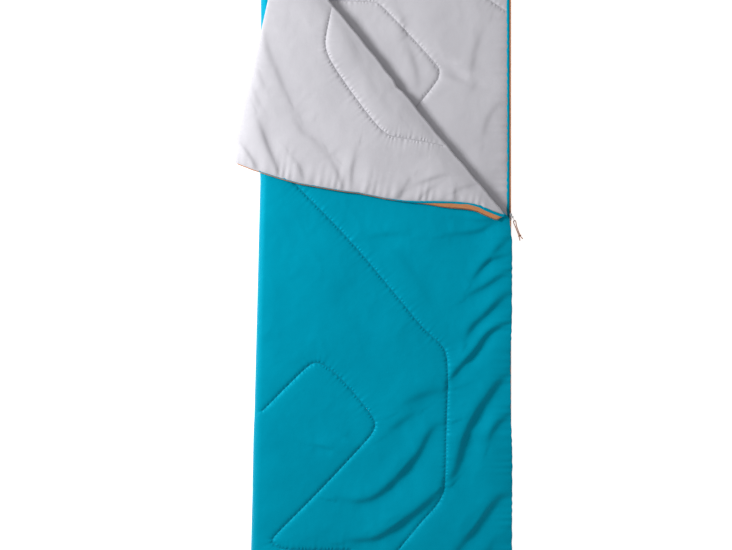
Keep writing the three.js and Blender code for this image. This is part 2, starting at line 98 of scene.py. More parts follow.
FOOT_RADIUS = 0.045  # the corner that the zip goes round
SOFTEN = 0.006  # rounds the ridge where two sewn edges meet
SWELL_REACH = 0.017
STITCH_WIDTH = 0.007
STITCH_REACH = 0.030
PUCKER_HEIGHT = 0.0015
PUCKER_LENGTH = 0.0125
GROOVE_DEPTH = 0.0013
GROOVE_WIDTH = 0.0022
EDGE_FADE = 0.012  # over which the relief starts at a sewn edge
THINNEST = 0.0002  # half of the least that two skins stand apart
# how far a wrinkle may stand over the quilt's full thickness
FRONT_CREST = 0.0065
BACK_CREST = 0.0044

# The left side: one cloth bent round half an ellipse, with the quilt squeezed thin at its tip.
LEFT_X = -0.345
WRAP_DEPTH = 0.0195
WRAP_HEIGHT = CHAIN_Z - BACK_MID
WRAP = math.pi * math.sqrt((WRAP_DEPTH**2 + WRAP_HEIGHT**2) / 2)
TIP_HALF = 0.0022
TIP_REACH = 0.030
BELLY_AT = 0.008  # where the front stands out most over the zip
FLATTENED_AT = 0.0010  # how far inside the shell its left side would flatten as the front opens; nothing flattens it
# the left side isn't quite square to the rest: how far in it lies, by height
SLANT_AT = [-0.95, 0.25, 0.95]
SLANT = [-0.0203, 0.0097, 0.0125]
FLAT = RIGHT - LEFT_X
GIRTH = 2 * FLAT + WRAP  # the whole width of the cut, from one zip edge round to the other

# The crease: the skins stop short of it, and a roll of lining and a tuck of shell close it.
ROLL_AT = 0.012
ROLL_DEPTH = 0.007
SHELL_STOP = 0.0075
CREASE_SQUEEZE_FLAP = 0.32
CREASE_SQUEEZE_FRONT = 0.85
CREASE_REACH = 0.030
LEAST_OVER_CREASE = 0.0003  # how far the corner's shell keeps from the front's
# how far the fold's edge is pulled in, along the crease from the slider
CREASE_SHIFT_AT = [0, 0.056, 0.139, 0.207, 0.267, 0.327, 0.40, 0.470, 0.493, 0.515, 0.545, 0.596, 0.667, 1.04]
CREASE_SHIFT = [0, 0.001, 0.004, 0.003, 0.006, 0.009, 0.006, 0.006, 0.015, 0.008, 0.007, 0.003, 0.005, 0.003]

# The corner hangs down a little where it reaches past the left side.
DROOP_FROM_X = -0.335
DROOP_RADIUS = 0.25

# The flap's zip edge isn't straight: how far it stands out, along the edge from the crease.
SCALLOP_AT = [0, 0.04, 0.09, 0.13, 0.17, 0.22, 0.26, 0.31, 0.36, 0.44, 0.48, 0.57, 0.61, 0.66, 0.75, 0.80]
SCALLOP = [0, -0.019, -0.020, -0.014, -0.008, 0.001, 0.010, 0.018, 0.021, 0.021, 0.025, 0.028, 0.029, 0.026,
           0.017, 0.008]
SCALLOP_REACH = 0.13
# its head edge bulges, most of all a little way from the corner
HEAD_BULGE = 0.014
HEAD_BULGE_AT = 0.10


def lines_in_metres(lines):
    return [[(x / 1000, y / 1000) for x, y in line] for line in lines]


def wrinkles_in_metres(wrinkles):
    return [(depth / 1000, width / 1000, *lines_in_metres([line])) for depth, width, line in wrinkles]


# Quilting lines, as they lie: (x, y) corners in millimetres.
FRONT_STITCHES = lines_in_metres([
    [(-310, 290), (-242, 224), (-98, 80), (46, -93), (115, -179), (164, -219), (181, -248), (184, -329),
     (179, -455), (177, -576), (173, -640), (156, -680), (109, -729), (40, -813), (-55, -940)],
    [(-345, -412), (-331, -398), (-288, -352), (-217, -280), (-193, -271), (-163, -283), (-109, -332),
     (-39, -418), (-23, -447), (-32, -476), (-73, -522), (-187, -646), (-311, -775), (-311, -792),
     (-291, -811), (-200, -813), (-95, -813)],
])
FLAP_STITCHES = lines_in_metres([
    [(-148, 749), (-167, 665), (-167, 627), (-144, 578), (-37, 432), (9, 385), (58, 377), (144, 360),
     (172, 352)],
])
BACK_STITCHES = lines_in_metres([
    [(-300, 771), (-26, 771), (-3, 754), (156, 584), (161, 561), (153, 538), (95, 466), (-60, 300),
     (-80, 240), (-80, -60), (161, -320), (161, -420), (-60, -620)],
    [(245, 815), (308, 771), (363, 734)],
])

LIGHT_FROM = (-0.92, 0.39)
RIDGE_AT = 1.3  # how far a wrinkle's ridge is from its valley, in widths
# Wrinkles: (depth, width, corners of the valley), in millimetres. The ridge is on the light's side.
FRONT_WRINKLES = wrinkles_in_metres([
    (2.2, 9, [(365, 110), (357, 89), (328, 49), (311, 31)]),
    (2.6, 11, [(330, 125), (308, 118), (276, 95), (180, 88)]),
    (2.6, 9, [(372, 40), (354, 34), (325, 23), (300, 17), (255, -42)]),
    (2.6, 10, [(370, 5), (351, -15), (311, -49), (279, -67), (240, -88)]),
    (3.4, 11, [(375, -50), (346, -84), (317, -119), (285, -150), (259, -172), (240, -210)]),
    (4, 9, [(385, -145), (351, -162), (311, -185), (288, -211), (276, -231), (253, -260), (230, -280),
            (186, -335)]),
    (5.2, 14, [(370, -290), (348, -317), (314, -363), (274, -421), (245, -476), (229, -536), (213, -597),
               (180, -622)]),
    (3, 12, [(372, -400), (353, -432), (328, -455), (305, -505)]),
    (4.2, 15, [(372, -630), (353, -651), (323, -680), (288, -729), (253, -775), (205, -835)]),
    (4, 13, [(182, -450), (150, -461), (130, -491), (109, -536), (75, -576), (26, -631), (-23, -670),
             (-69, -683), (-130, -672)]),
    (2.2, 18, [(185, -355), (150, -368), (109, -378), (50, -410)]),
    (1.8, 14, [(95, -423), (60, -448), (15, -478)]),
    (4, 12, [(182, -636), (164, -654), (89, -715), (40, -749), (-20, -790), (-105, -792)]),
    (1.4, 7, [(-112, -482), (-85, -498), (-60, -510)]),
    (1.4, 7, [(-202, -512), (-173, -521), (-145, -528)]),
    (0.8, 18, [(20, 80), (100, -10), (150, -110)]),
    (2.2, 12, [(345, 150), (316, 132), (270, 126), (200, 140)]),
    (1.6, 14, [(75, 85), (20, 88), (-50, 80)]),
    (2, 16, [(330, -780), (290, -850), (250, -900)]),
])
FLAP_WRINKLES = wrinkles_in_metres([
    (2.4, 13, [(-340, 710), (-323, 627), (-300, 576), (-279, 527), (-245, 455)]),
    (1.4, 8, [(-352, 575), (-340, 542), (-330, 515)]),
    (1.4, 8, [(-372, 535), (-356, 500), (-340, 465)]),
    (4, 10, [(-352, 440), (-334, 403), (-320, 362), (-305, 331), (-288, 288), (-283, 245)]),
    (3.4, 9, [(-415, 388), (-392, 362), (-374, 339), (-357, 308), (-340, 265)]),
    (2.6, 9, [(-262, 345), (-236, 322), (-222, 290), (-212, 245)]),
    (3, 14, [(-250, 450), (-228, 406), (-199, 391), (-179, 374), (-146, 340)]),
    (2.6, 10, [(-152, 340), (-118, 288), (-104, 225)]),
    (2.6, 10, [(-70, 355), (-84, 288), (-84, 215)]),
    (2, 8, [(-30, 262), (-28, 235), (-26, 205)]),
    (2.6, 9, [(85, 268), (55, 224), (42, 185)]),
    (2.6, 10, [(85, 240), (141, 253), (192, 261)]),
    (2.2, 9, [(150, 235), (124, 217), (98, 190)]),
    (3, 10, [(215, 216), (245, 226), (280, 242)]),
    (2, 7, [(208, 226), (205, 200), (204, 180)]),
    (2, 20, [(-60, 600), (-10, 520), (40, 450)]),
    (2, 18, [(-100, 700), (-80, 640), (-50, 590)]),
    (1.8, 16, [(20, 340), (80, 320), (140, 310)]),
])
BACK_WRINKLES = wrinkles_in_metres([
    (2.6, 10, [(110, 622), (184, 601), (215, 590)]),
    (3, 9, [(150, 600), (197, 578), (250, 558)]),
    (3, 10, [(155, 575), (206, 554), (262, 528)]),
    (2.6, 13, [(70, 662), (101, 578), (108, 515)]),
    (2.2, 14, [(300, 700), (260, 600), (270, 500)]),
    (2, 12, [(350, 480), (310, 440), (290, 370)]),
    (2.2, 13, [(40, 760), (70, 710), (60, 650)]),
])


# ---------------------------------------------------------------- heights over a cut


def value_noise(x, y, cell, seed):
    """Smooth noise from -1 to 1, with one random value at each corner of a square grid of cells."""
    size = 61
    table = np.random.default_rng(seed).uniform(-1, 1, (size, size))
    turned_x, turned_y = (0.8 * x + 0.6 * y) / cell + 31.7, (0.8 * y - 0.6 * x) / cell + 17.3
    column, row = np.floor(turned_x).astype(int), np.floor(turned_y).astype(int)
    across, up = turned_x - column, turned_y - row
    across, up = (t**3 * (t * (6 * t - 15) + 10) for t in (across, up))

    def corner(i, j):
        return table[(column + i) % size, (row + j) % size]

    low = corner(0, 0) * (1 - across) + corner(1, 0) * across
    high = corner(0, 1) * (1 - across) + corner(1, 1) * across
    return low * (1 - up) + high * up


def bell(distance, width):
    """1 at no distance, falling to 0 over a few widths."""
    return np.exp(-((distance / width) ** 2))


def clear_of(distance, reach):
    """0 at no distance, rising to 1 over a few reaches."""
    return 1 - np.exp(-distance / reach)


def ripple(along, length):
    """An uneven wave, from -1 to 1, whose crests are about length apart."""
    turn = 2 * math.pi * along / length
    return np.sin(turn + 2.2 * np.sin(turn / 5.3 + 1)) * (0.65 + 0.35 * np.sin(turn / 3.1 + 2))


def smooth_line(corners, rounds=3):
    """The corners of a line cut off again and again, so that it curves."""
    line = np.array(corners, float)
    for _ in range(rounds):
        near, far = line[:-1] * 0.75 + line[1:] * 0.25, line[:-1] * 0.25 + line[1:] * 0.75
        between = np.stack([near, far], axis=1).reshape(-1, line.shape[1])
        line = np.concatenate([line[:1], between, line[-1:]])
    return line


def to_line(x, y, line):
    """How far points are from a line, on its left or right (+1 or -1), how far along it, and its length."""
    best = np.full(np.shape(x), np.inf)
    side, along, start = np.ones(np.shape(x)), np.zeros(np.shape(x)), 0.0
    for a, b in zip(line[:-1], line[1:]):
        length = math.hypot(*(b - a))
        way = (b - a) / length
        from_x, from_y = x - a[0], y - a[1]
        reach = np.clip(from_x * way[0] + from_y * way[1], 0, length)
        off_x, off_y = from_x - reach * way[0], from_y - reach * way[1]
        distance = np.hypot(off_x, off_y)
        nearer = distance < best
        best = np.where(nearer, distance, best)
        along = np.where(nearer, start + reach, along)
        side = np.where(nearer, np.where(way[0] * off_y - way[1] * off_x >= 0, 1.0, -1.0), side)
        start += length
    return best, side, along, start


def wrinkle_heights(x, y, wrinkles, deepen):
    """Wrinkles, each with a steep face away from the light and gentle slopes elsewhere."""
    heights = np.zeros(np.shape(x))
    for depth, width, corners in wrinkles:
        distance, side, along, length = to_line(x, y, smooth_line(corners, 2))
        way = np.subtract(corners[-1], corners[0])
        lit = 1 if way[0] * LIGHT_FROM[1] - way[1] * LIGHT_FROM[0] > 0 else -1
        across = lit * distance * side / width
        fade = np.sin(math.pi * np.clip(along / length, 0.02, 0.98)) ** 0.6
        fade = fade * (0.85 + 0.15 * ripple(along, 0.07))
        ridge = bell(across - RIDGE_AT, np.where(across > RIDGE_AT, 2.8, 1))
        valley = bell(across, np.where(across < 0, 3.0, 1))
        heights += deepen * depth * fade * (0.75 * ridge - valley)
    return heights


def quilting(x, y, lines):
    """The share of the loft that the stitching leaves, and the heights of the puckers beside it."""
    share, puckers = np.ones(np.shape(x)), np.zeros(np.shape(x))
    for corners in lines:
        distance, side, along, _ = to_line(x, y, smooth_line(corners))
        share *= 1 - 0.36 * bell(distance, STITCH_WIDTH) - 0.15 * bell(distance, STITCH_REACH)
        beside = np.exp(-distance / 0.014) * (1 - bell(distance, 0.003))
        puckers += PUCKER_HEIGHT * beside * ripple(along + 0.05 * side, PUCKER_LENGTH)
        puckers -= GROOVE_DEPTH * bell(distance, GROOVE_WIDTH)
    return share, puckers


def sewn_inset(to_side, y):
    """How far points are in from the sewn edges: the zip side, the head, the foot and its round corner."""
    to_end = HEAD - np.abs(y)
    soft = -SOFTEN * np.log(np.exp(-to_side / SOFTEN) + np.exp(-to_end / SOFTEN))
    in_corner = (to_side < FOOT_RADIUS) & (y < FOOT_RADIUS - HEAD)
    from_centre = np.hypot(FOOT_RADIUS - to_side, FOOT_RADIUS - to_end)
    return np.maximum(np.where(in_corner, FOOT_RADIUS - from_centre, soft), 0)


def swell(inset):
    """Half of the quilt's thickness, without its quilting, so far in from the sewn edge."""
    return HALF_LOFT * clear_of(inset, SWELL_REACH) ** 0.6


def edge_puckers(to_side, y, inset):
    """Gathers across the sewn edges, deeper at the zip side than at the head and the foot."""
    side_reach = 1.5 * np.exp(-to_side / 0.022) * ripple(y, 0.026)
    end_reach = np.exp(-(HEAD - np.abs(y)) / 0.018) * ripple(to_side, 0.030)
    return PUCKER_HEIGHT * (side_reach + end_reach) * clear_of(inset, 0.005)


def undulation(x, y, seed):
    """The slow rise and fall of a soft quilt, and the fine crumple of its cloth."""
    slow = 0.0022 * value_noise(x, y, 0.17, seed) + 0.0013 * value_noise(y, x, 0.075, seed + 1)
    ridged = 1 - 2 * np.abs(value_noise(x, y * 0.7, 0.045, seed + 2))
    fine = 0.00035 * ridged + 0.00022 * value_noise(x, y, 0.019, seed + 3)
    return slow + fine


# ---------------------------------------------------------------- where a cut lies


def crease_coordinates(x, y):
    """How far points are along the crease and off it, towards the corner that folds."""
    from_x, from_y = x - CREASE_FOOT[0], y - CREASE_FOOT[1]
    along = from_x * CREASE_ALONG[0] + from_y * CREASE_ALONG[1]
    off = from_x * CREASE_NORMAL[0] + from_y * CREASE_NORMAL[1]
    return along, off


def off_crease(x, y):
    return crease_coordinates(x, y)[1]


def crease_shift(along):
    """The fold's edge wanders, and pulls in where the quilting crosses it."""
    wander = 0.0010 * np.sin(along / 0.031 + 1) + 0.0008 * np.sin(along / 0.0127 + 2)
    return np.interp(along, CREASE_SHIFT_AT, CREASE_SHIFT) + wander * np.clip(along / 0.05, 0, 1)


def pulled_from_crease(along, off):
    """Moves points off the crease, on their own side of it, by the fold's wandering."""
    size = np.abs(off)
    return off + np.sign(off) * crease_shift(along) * np.exp(-size / 0.04)


def squeeze(off, least):
    """The share of the loft left beside the crease."""
    return least + (1 - least) * (1 - np.exp(-((np.maximum(off, 0) / CREASE_REACH) ** 1.3)))


def folded_xy(x, y):
    """Reflection over the crease: where a point of the flap lies, or which point lies there."""
    off = off_crease(x, y)
    return x - 2 * off * CREASE_NORMAL[0], y - 2 * off * CREASE_NORMAL[1]


def drooped(x, z):
    """The height z lowered past the left side, along an arc."""
    over = np.maximum(DROOP_FROM_X - x, 0)
    return z - over**2 / (2 * DROOP_RADIUS)


def lay_flap(x, y, z):
    """Where the flap's points lie: x and y are on the flat cut, and z is the height once folded."""
    out = np.interp(y - SLIDER_Y, SCALLOP_AT, SCALLOP) * np.exp(-np.maximum(RIGHT - x, 0) / SCALLOP_REACH)
    out = out * (1 - bell(np.maximum(off_crease(x, y) - ROLL_AT, 0), 0.045))
    from_corner = np.maximum(RIGHT - x, 0) / HEAD_BULGE_AT
    up = HEAD_BULGE * from_corner * np.exp(1 - from_corner - np.maximum(HEAD - y, 0) / 0.12)
    along, off = crease_coordinates(x + out, y + up)
    off = pulled_from_crease(along, off)
    lies_x = CREASE_FOOT[0] + along * CREASE_ALONG[0] - off * CREASE_NORMAL[0]
    lies_y = CREASE_FOOT[1] + along * CREASE_ALONG[1] - off * CREASE_NORMAL[1]
    return np.stack([lies_x, lies_y, drooped(lies_x, z)], axis=-1)


def lay_wrapped(across, y, lift):
    """Where points of the wrapped cut lie. across goes from the back's zip edge round the left side to the
    front's, and lift is the height over the middle of the quilt, outwards."""
    turn = np.clip((across - FLAT) / WRAP, 0, 1) * math.pi
    on_back, on_front = across < FLAT, across > FLAT + WRAP
    mid_x = np.where(on_back, RIGHT - across, np.where(on_front, across - GIRTH + RIGHT, LEFT_X))
    mid_x = mid_x - WRAP_DEPTH * np.sin(turn)
    mid_z = CHAIN_Z - WRAP_HEIGHT * np.cos(turn)
    out_x, out_z = -np.sin(turn) / WRAP_DEPTH, -np.cos(turn) / WRAP_HEIGHT
    size = np.hypot(out_x, out_z)
    x, z = mid_x + lift * out_x / size, mid_z + lift * out_z / size
    on_panel = on_front & (off_crease(x, y) < 0)
    along, off = crease_coordinates(x, y)
    moved = pulled_from_crease(along, np.minimum(off, -1e-6)) - off
    x = np.where(on_panel, x + moved * CREASE_NORMAL[0], x)
    y = np.where(on_panel, y + moved * CREASE_NORMAL[1], y)
    slant = np.interp(y, SLANT_AT, SLANT) * np.exp(-np.maximum(x - LEFT_X + WRAP_DEPTH, 0) / 0.12)
    return np.stack([x + slant, y, z], axis=-1)


def wrapped_half(across, y):
    """Half of the quilt's thickness over the wrapped cut, and the inset that it comes from."""
    to_side = np.minimum(across, GIRTH - across)
    inset = sewn_inset(to_side, y)
    from_tip = np.abs(across - GIRTH / 2)
    tip = TIP_HALF / HALF_LOFT
    return swell(inset) * (tip + (1 - tip) * (1 - np.exp(-((from_tip / TIP_REACH) ** 1.5)))), inset


def front_cut(x, y):
    """The place on the wrapped cut of a place on the front."""
    return GIRTH - RIGHT + x, y


def back_cut(x, y):
    return RIGHT - x, y


def under_flap(x, y):
    """1 for points of the front that the folded corner covers, falling to 0 just past its edge."""
    flat_x, flat_y = folded_xy(x, y)
    off = off_crease(flat_x, flat_y)
    inside = np.minimum(np.minimum(RIGHT - flat_x, HEAD - flat_y), off)
    return np.clip((inside + 0.02) / 0.03, 0, 1)


def front_relief(x, y, inset, across_side):
    heights = wrinkle_heights(x, y, FRONT_WRINKLES, 2.2) + undulation(x, y, 3)
    heights = heights * clear_of(inset, EDGE_FADE) + edge_puckers(across_side, y, inset)
    covered = under_flap(x, y)
    return np.where(heights > 0, heights * (1 - covered), heights * (1 - 0.5 * covered))


def over_zip(points, across, y, inset):
    """The front's shell swells out over the zip, more or less of it along the way."""
    amount = 0.0150 + 0.0006 * np.sin(y / 0.11) + 0.0010 * ripple(y, 0.031)
    amount -= 0.0048 * np.exp(-(((y + 0.34) / 0.15) ** 4)) + 0.010 * bell(y - 0.15, 0.05)
    reach = amount * (inset / BELLY_AT) * np.exp(1 - inset / BELLY_AT)
    to_side, to_foot = GIRTH - across, HEAD + y
    out_x, out_y = np.maximum(FOOT_RADIUS - to_side, 0), np.maximum(FOOT_RADIUS - to_foot, 0)
    size = np.maximum(np.hypot(out_x, out_y), 1e-9)
    shown = (across > FLAT + WRAP) * np.exp(-((inset / 0.05) ** 6))
    points[..., 0] += reach * shown * out_x / size
    points[..., 1] -= reach * shown * out_y / size
    return points


def shell_points(across, y):
    """The shell: flat on the ground under the back, and full of relief on the front."""
    half, inset = wrapped_half(across, y)
    x = across - GIRTH + RIGHT
    on_front = across > FLAT + WRAP / 2
    share, puckers = quilting(x, y, FRONT_STITCHES)
    relief = front_relief(x, y, inset, GIRTH - across) + puckers * (1 - under_flap(x, y))
    rounding = np.clip((across - FLAT - WRAP) / 0.05 + 1, 0, 1)
    lift = np.where(on_front, half * (1 + (share - 1) * rounding) + relief * rounding, half)
    lift = np.where(on_front, np.maximum(lift, THINNEST), lift)
    lift = np.where(across > FLAT + WRAP, np.minimum(lift, HALF_LOFT + FRONT_CREST), lift)
    off = off_crease(x, y)
    beside = bell(np.minimum(off + SHELL_STOP, 0), 0.012) * on_front * (inset > EDGE_FADE)
    lift = lift * (1 - beside) + HALF_LOFT * beside
    return over_zip(lay_wrapped(across, y, lift), across, y, inset)


def lining_points(across, y):
    """The lining: the back's upper face, the inner fold and the front's lower face."""
    half, inset = wrapped_half(across, y)
    on_front = across > FLAT + WRAP / 2
    x = np.where(on_front, across - GIRTH + RIGHT, RIGHT - across)
    on_back, on_its_front = quilting(x, y, BACK_STITCHES), quilting(x, y, FRONT_STITCHES)
    share, puckers = (np.where(on_front, b, a) for a, b in zip(on_back, on_its_front))
    relief = wrinkle_heights(x, y, BACK_WRINKLES, 1.2) + undulation(x, y, 11) + puckers
    relief = relief * clear_of(inset, EDGE_FADE)
    relief += edge_puckers(np.minimum(across, GIRTH - across), y, inset)
    flat_reach = np.clip(np.abs(across - GIRTH / 2) / WRAP - 0.6, 0, 1)
    size = np.where(on_front, 0.25, 1.0) * flat_reach
    lift = np.maximum(half * (1 + (share - 1) * flat_reach) + relief * size, THINNEST)
    lift = np.minimum(lift, HALF_LOFT + np.where(on_front, 0.0, BACK_CREST))
    points = lay_wrapped(across, y, -lift)
    off = off_crease(x, y)
    beside = squeeze(-off - ROLL_AT, CREASE_SQUEEZE_FRONT)
    flattened = FRONT_TOP - (FRONT_TOP - points[..., 2]) * beside
    points[..., 2] = np.where(on_front & (across > FLAT + WRAP), flattened, points[..., 2])
    return points


def flap_lift(x, y):
    """Half of the flap's thickness, with its quilting, and the relief of its lining."""
    inset = sewn_inset(RIGHT - x, y)
    lies_x, lies_y = folded_xy(x, y)
    share, puckers = quilting(lies_x, lies_y, FLAP_STITCHES)
    relief = wrinkle_heights(lies_x, lies_y, FLAP_WRINKLES, 1.25) + undulation(lies_x, lies_y, 23) + puckers
    relief = relief * clear_of(inset, 0.010) + edge_puckers(RIGHT - x, y, inset)
    return swell(inset) * share, relief


def flap_lining_points(x, y):
    half, relief = flap_lift(x, y)
    off = off_crease(x, y)
    height = FOLDED_MID + np.maximum(half + relief, THINNEST) - CREASE_Z
    return lay_flap(x, y, CREASE_Z + height * squeeze(off - ROLL_AT, CREASE_SQUEEZE_FLAP))


def flap_shell_points(x, y):
    half, _ = flap_lift(x, y)
    off = off_crease(x, y)
    height = (FOLDED_MID - half - CREASE_Z) * squeeze(off - SHELL_STOP, CREASE_SQUEEZE_FLAP)
    return lay_flap(x, y, CREASE_Z + np.maximum(height, LEAST_OVER_CREASE))


# ---------------------------------------------------------------- meshes

# steps of the cuts' grids: fine where a skin shows, coarse where it doesn't
FRONT_GRID, BACK_GRID = 0.0045, 0.020
LINING_ROWS, LINING_GRID, INNER_GRID = 0.0055, 0.0050, 0.012
FLAP_GRID, FLAP_UNDER_GRID = 0.0036, 0.0065
PAD_GRID = 0.0075
GROOVE_REACH = 0.0085  # how far from the quilting a grid is refined
FLAP_LOW_X = -0.31  # just past the flap's cut


def grid_lines(low, high, step, fine_low, fine_high):
    """Grid lines a step apart, closer together at a sewn edge, where the cloth turns round."""
    near = [0, 0.0009, 0.0022, 0.0042, 0.0070, 0.0105]
    start, stop = low + (near[-1] if fine_low else 0), high - (near[-1] if fine_high else 0)
    count = max(round((stop - start) / step), 1)
    lines = [start + (stop - start) * i / count for i in range(count + 1)]
    if fine_low:
        lines = [low + d for d in near[:-1]] + lines
    if fine_high:
        lines += [high - d for d in reversed(near[:-1])]
    return lines


def rounded_corner(centre, radius, start, turn, steps=10):
    """Corners of a cut along an arc, counter-clockwise."""
    angles = [start + turn * i / steps for i in range(steps + 1)]
    return [(centre[0] + radius * math.cos(a), centre[1] + radius * math.sin(a)) for a in angles]


def refine_along(bm, lines, reach):
    """Cuts the grid three times finer beside the quilting, so that its groove is sharp."""
    edges = bm.edges[:]
    middles = np.array([((e.verts[0].co + e.verts[1].co) / 2)[:2] for e in edges])
    near = np.zeros(len(edges), bool)
    for line in lines:
        near |= to_line(middles[:, 0], middles[:, 1], line)[0] < reach
    chosen = [edge for edge, is_near in zip(edges, near) if is_near]
    bmesh.ops.subdivide_edges(bm, edges=chosen, cuts=2, use_grid_fill=True)


def flat_cut(corners, columns, rows, lines=()):
    """A flat grid clipped to a convex outline, counter-clockwise: its points and its faces."""
    bm = bmesh.new()
    grid = [[bm.verts.new((u, v, 0)) for u in columns] for v in rows]
    for low, high in zip(grid, grid[1:]):
        for i in range(len(columns) - 1):
            bm.faces.new((low[i], low[i + 1], high[i + 1], high[i]))
    for (ax, ay), (bx, by) in zip(corners, corners[1:] + corners[:1]):
        if math.hypot(bx - ax, by - ay) < 1e-6:
            continue
        parts = bm.verts[:] + bm.edges[:] + bm.faces[:]
        outward = Vector((by - ay, ax - bx, 0)).normalized()
        bmesh.ops.bisect_plane(
            bm, geom=parts, dist=2e-5, plane_co=(ax, ay, 0), plane_no=outward, clear_outer=True
        )
    bmesh.ops.remove_doubles(bm, verts=bm.verts[:], dist=1.5e-4)
    if lines:
        refine_along(bm, lines, GROOVE_REACH)
    bm.verts.index_update()
    points = np.array([(v.co.x, v.co.y) for v in bm.verts])
    faces = [[v.index for v in face.verts] for face in bm.faces]
    bm.free()
    return points, faces


def add_piece(name, points, faces, material, uv=None):
    """A smooth mesh. uv is each point's place on its flat cut, in metres, which the weave follows."""
    mesh = bpy.data.meshes.new(name)
    mesh.from_pydata(np.asarray(points, float).tolist(), [], faces)
    mesh.polygons.foreach_set("use_smooth", [True] * len(mesh.polygons))
    if uv is not None:
        corners = np.zeros(len(mesh.loops), int)
        mesh.loops.foreach_get("vertex_index", corners)
        layer = mesh.uv_layers.new(name="cut")
        layer.data.foreach_set("uv", np.asarray(uv, float)[corners].ravel())
    mesh.materials.append(material)
    mesh.update()
    piece = bpy.data.objects.new(name, mesh)
    bpy.context.scene.collection.objects.link(piece)
    return piece


def settle(piece, body, slot, *nodes):
    """The body that a piece rides on and the CAD nodes whose place it takes. slot is not used."""
    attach(piece, body)
    if nodes:
        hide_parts(*nodes)
    return piece


def flipped(faces):
    return [face[::-1] for face in faces]


def lofted(rings):
    """Faces through rings of points, each with the same number of them, and over both ends."""
    rows, count = len(rings), len(rings[0])
    faces = []
    for row in range(rows - 1):
        for i in range(count):
            a, b = row * count + i, row * count + (i + 1) % count
            faces.append([a, b, b + count, a + count])
    return faces + [list(reversed(range(count))), [(rows - 1) * count + i for i in range(count)]]


def curve_through(points, step):
    """Points a step apart on a smooth curve through the given ones."""
    points = np.array(points, float)
    padded = np.concatenate([[2 * points[0] - points[1]], points, [2 * points[-1] - points[-2]]])
    fine = []
    for p0, p1, p2, p3 in zip(padded, padded[1:], padded[2:], padded[3:]):
        for t in np.arange(0, 1, 0.05):
            fine.append(0.5 * (2 * p1 + (p2 - p0) * t + (2 * p0 - 5 * p1 + 4 * p2 - p3) * t**2
                               + (3 * p1 - p0 - 3 * p2 + p3) * t**3))
    fine = np.array(fine + [points[-1]])
    lengths = np.concatenate([[0], np.cumsum(np.linalg.norm(np.diff(fine, axis=0), axis=1))])
    places = np.linspace(0, lengths[-1], max(int(round(lengths[-1] / step)), 2) + 1)
    return np.stack([np.interp(places, lengths, fine[:, axis]) for axis in range(3)], axis=1)


# ---------------------------------------------------------------- materials


def shade(name, roughness, **constants):
    """A new material, its nodes' adder, its shader and its tree. Constants are set on the shader itself."""
    material = bpy.data.materials.new(name)
    material.use_nodes = True
    tree = material.node_tree
    tree.nodes.clear()

    def add(kind, settings=None, **links):
        node = tree.nodes.new("ShaderNode" + kind)
        for key, value in (settings or {}).items():
            setattr(node, key, value)
        for key, value in links.items():
            socket = node.inputs[int(key[1:]) if key[0] == "_" else key.replace("_", " ")]
            if isinstance(value, bpy.types.NodeSocket):
                tree.links.new(value, socket)
            else:
                socket.default_value = value
        return node

    shader = add("BsdfPrincipled", Roughness=roughness)
    for key, value in constants.items():
        shader.inputs[key.replace("_", " ")].default_value = value
    output = add("OutputMaterial")
    tree.links.new(shader.outputs[0], output.inputs[0])
    return material, add, shader, tree


def paint(add, shader, tree, factor, colours):
    """The base colour: a ramp through colours, evenly spaced, driven by a factor from 0 to 1."""
    ramp = add("ValToRGB", _0=factor)
    elements = ramp.color_ramp.elements
    while len(elements) < len(colours):
        elements.new(0.5)
    for i, colour in enumerate(colours):
        elements[i].position = i / (len(colours) - 1)
        elements[i].color = (*colour, 1)
    tree.links.new(ramp.outputs[0], shader.inputs["Base Color"])


def vary_roughness(add, shader, tree, factor, low, high):
    """Roughness from low to high, as a noise goes from 0.3 to 0.7."""
    spread = add("MapRange", _0=factor, _1=0.3, _2=0.7, _3=low, _4=high)
    tree.links.new(spread.outputs[0], shader.inputs["Roughness"])


def cloth_material(name, colours, roughness, crumple_depth, sheen, tint):
    """Plain-woven cloth: fine threads both ways, a soft crumple and slight unevenness of colour."""
    material, add, shader, tree = shade(name, roughness, Sheen_Weight=sheen, Sheen_Roughness=0.45,
                                        Specular_IOR_Level=0.35, Specular_Tint=(*tint, 1))
    cut = add("TexCoord").outputs["UV"]
    place = add("TexCoord").outputs["Object"]
    warp = add("TexWave", {"bands_direction": "X"}, Vector=cut, Scale=0.5 / THREAD_PITCH)
    weft = add("TexWave", {"bands_direction": "Y"}, Vector=cut, Scale=0.5 / THREAD_PITCH)
    threads = add("Math", {"operation": "MAXIMUM"}, _0=warp.outputs["Fac"], _1=weft.outputs["Fac"])
    crumple = add("TexNoise", Vector=place, Scale=48.0, Detail=5.0, Roughness=0.55, Distortion=0.4)
    soft = add("TexNoise", Vector=place, Scale=9.0, Detail=3.0, Roughness=0.5)
    paint(add, shader, tree, soft.outputs["Fac"], colours)
    vary_roughness(add, shader, tree, crumple.outputs["Fac"], roughness - 0.06, roughness + 0.08)
    fine = add("Bump", Height=threads.outputs[0], Distance=WEAVE_DEPTH, Strength=0.6)
    rough = add("Bump", Height=crumple.outputs["Fac"], Distance=crumple_depth, Strength=0.7,
                Normal=fine.outputs[0])
    tree.links.new(rough.outputs[0], shader.inputs["Normal"])
    return material


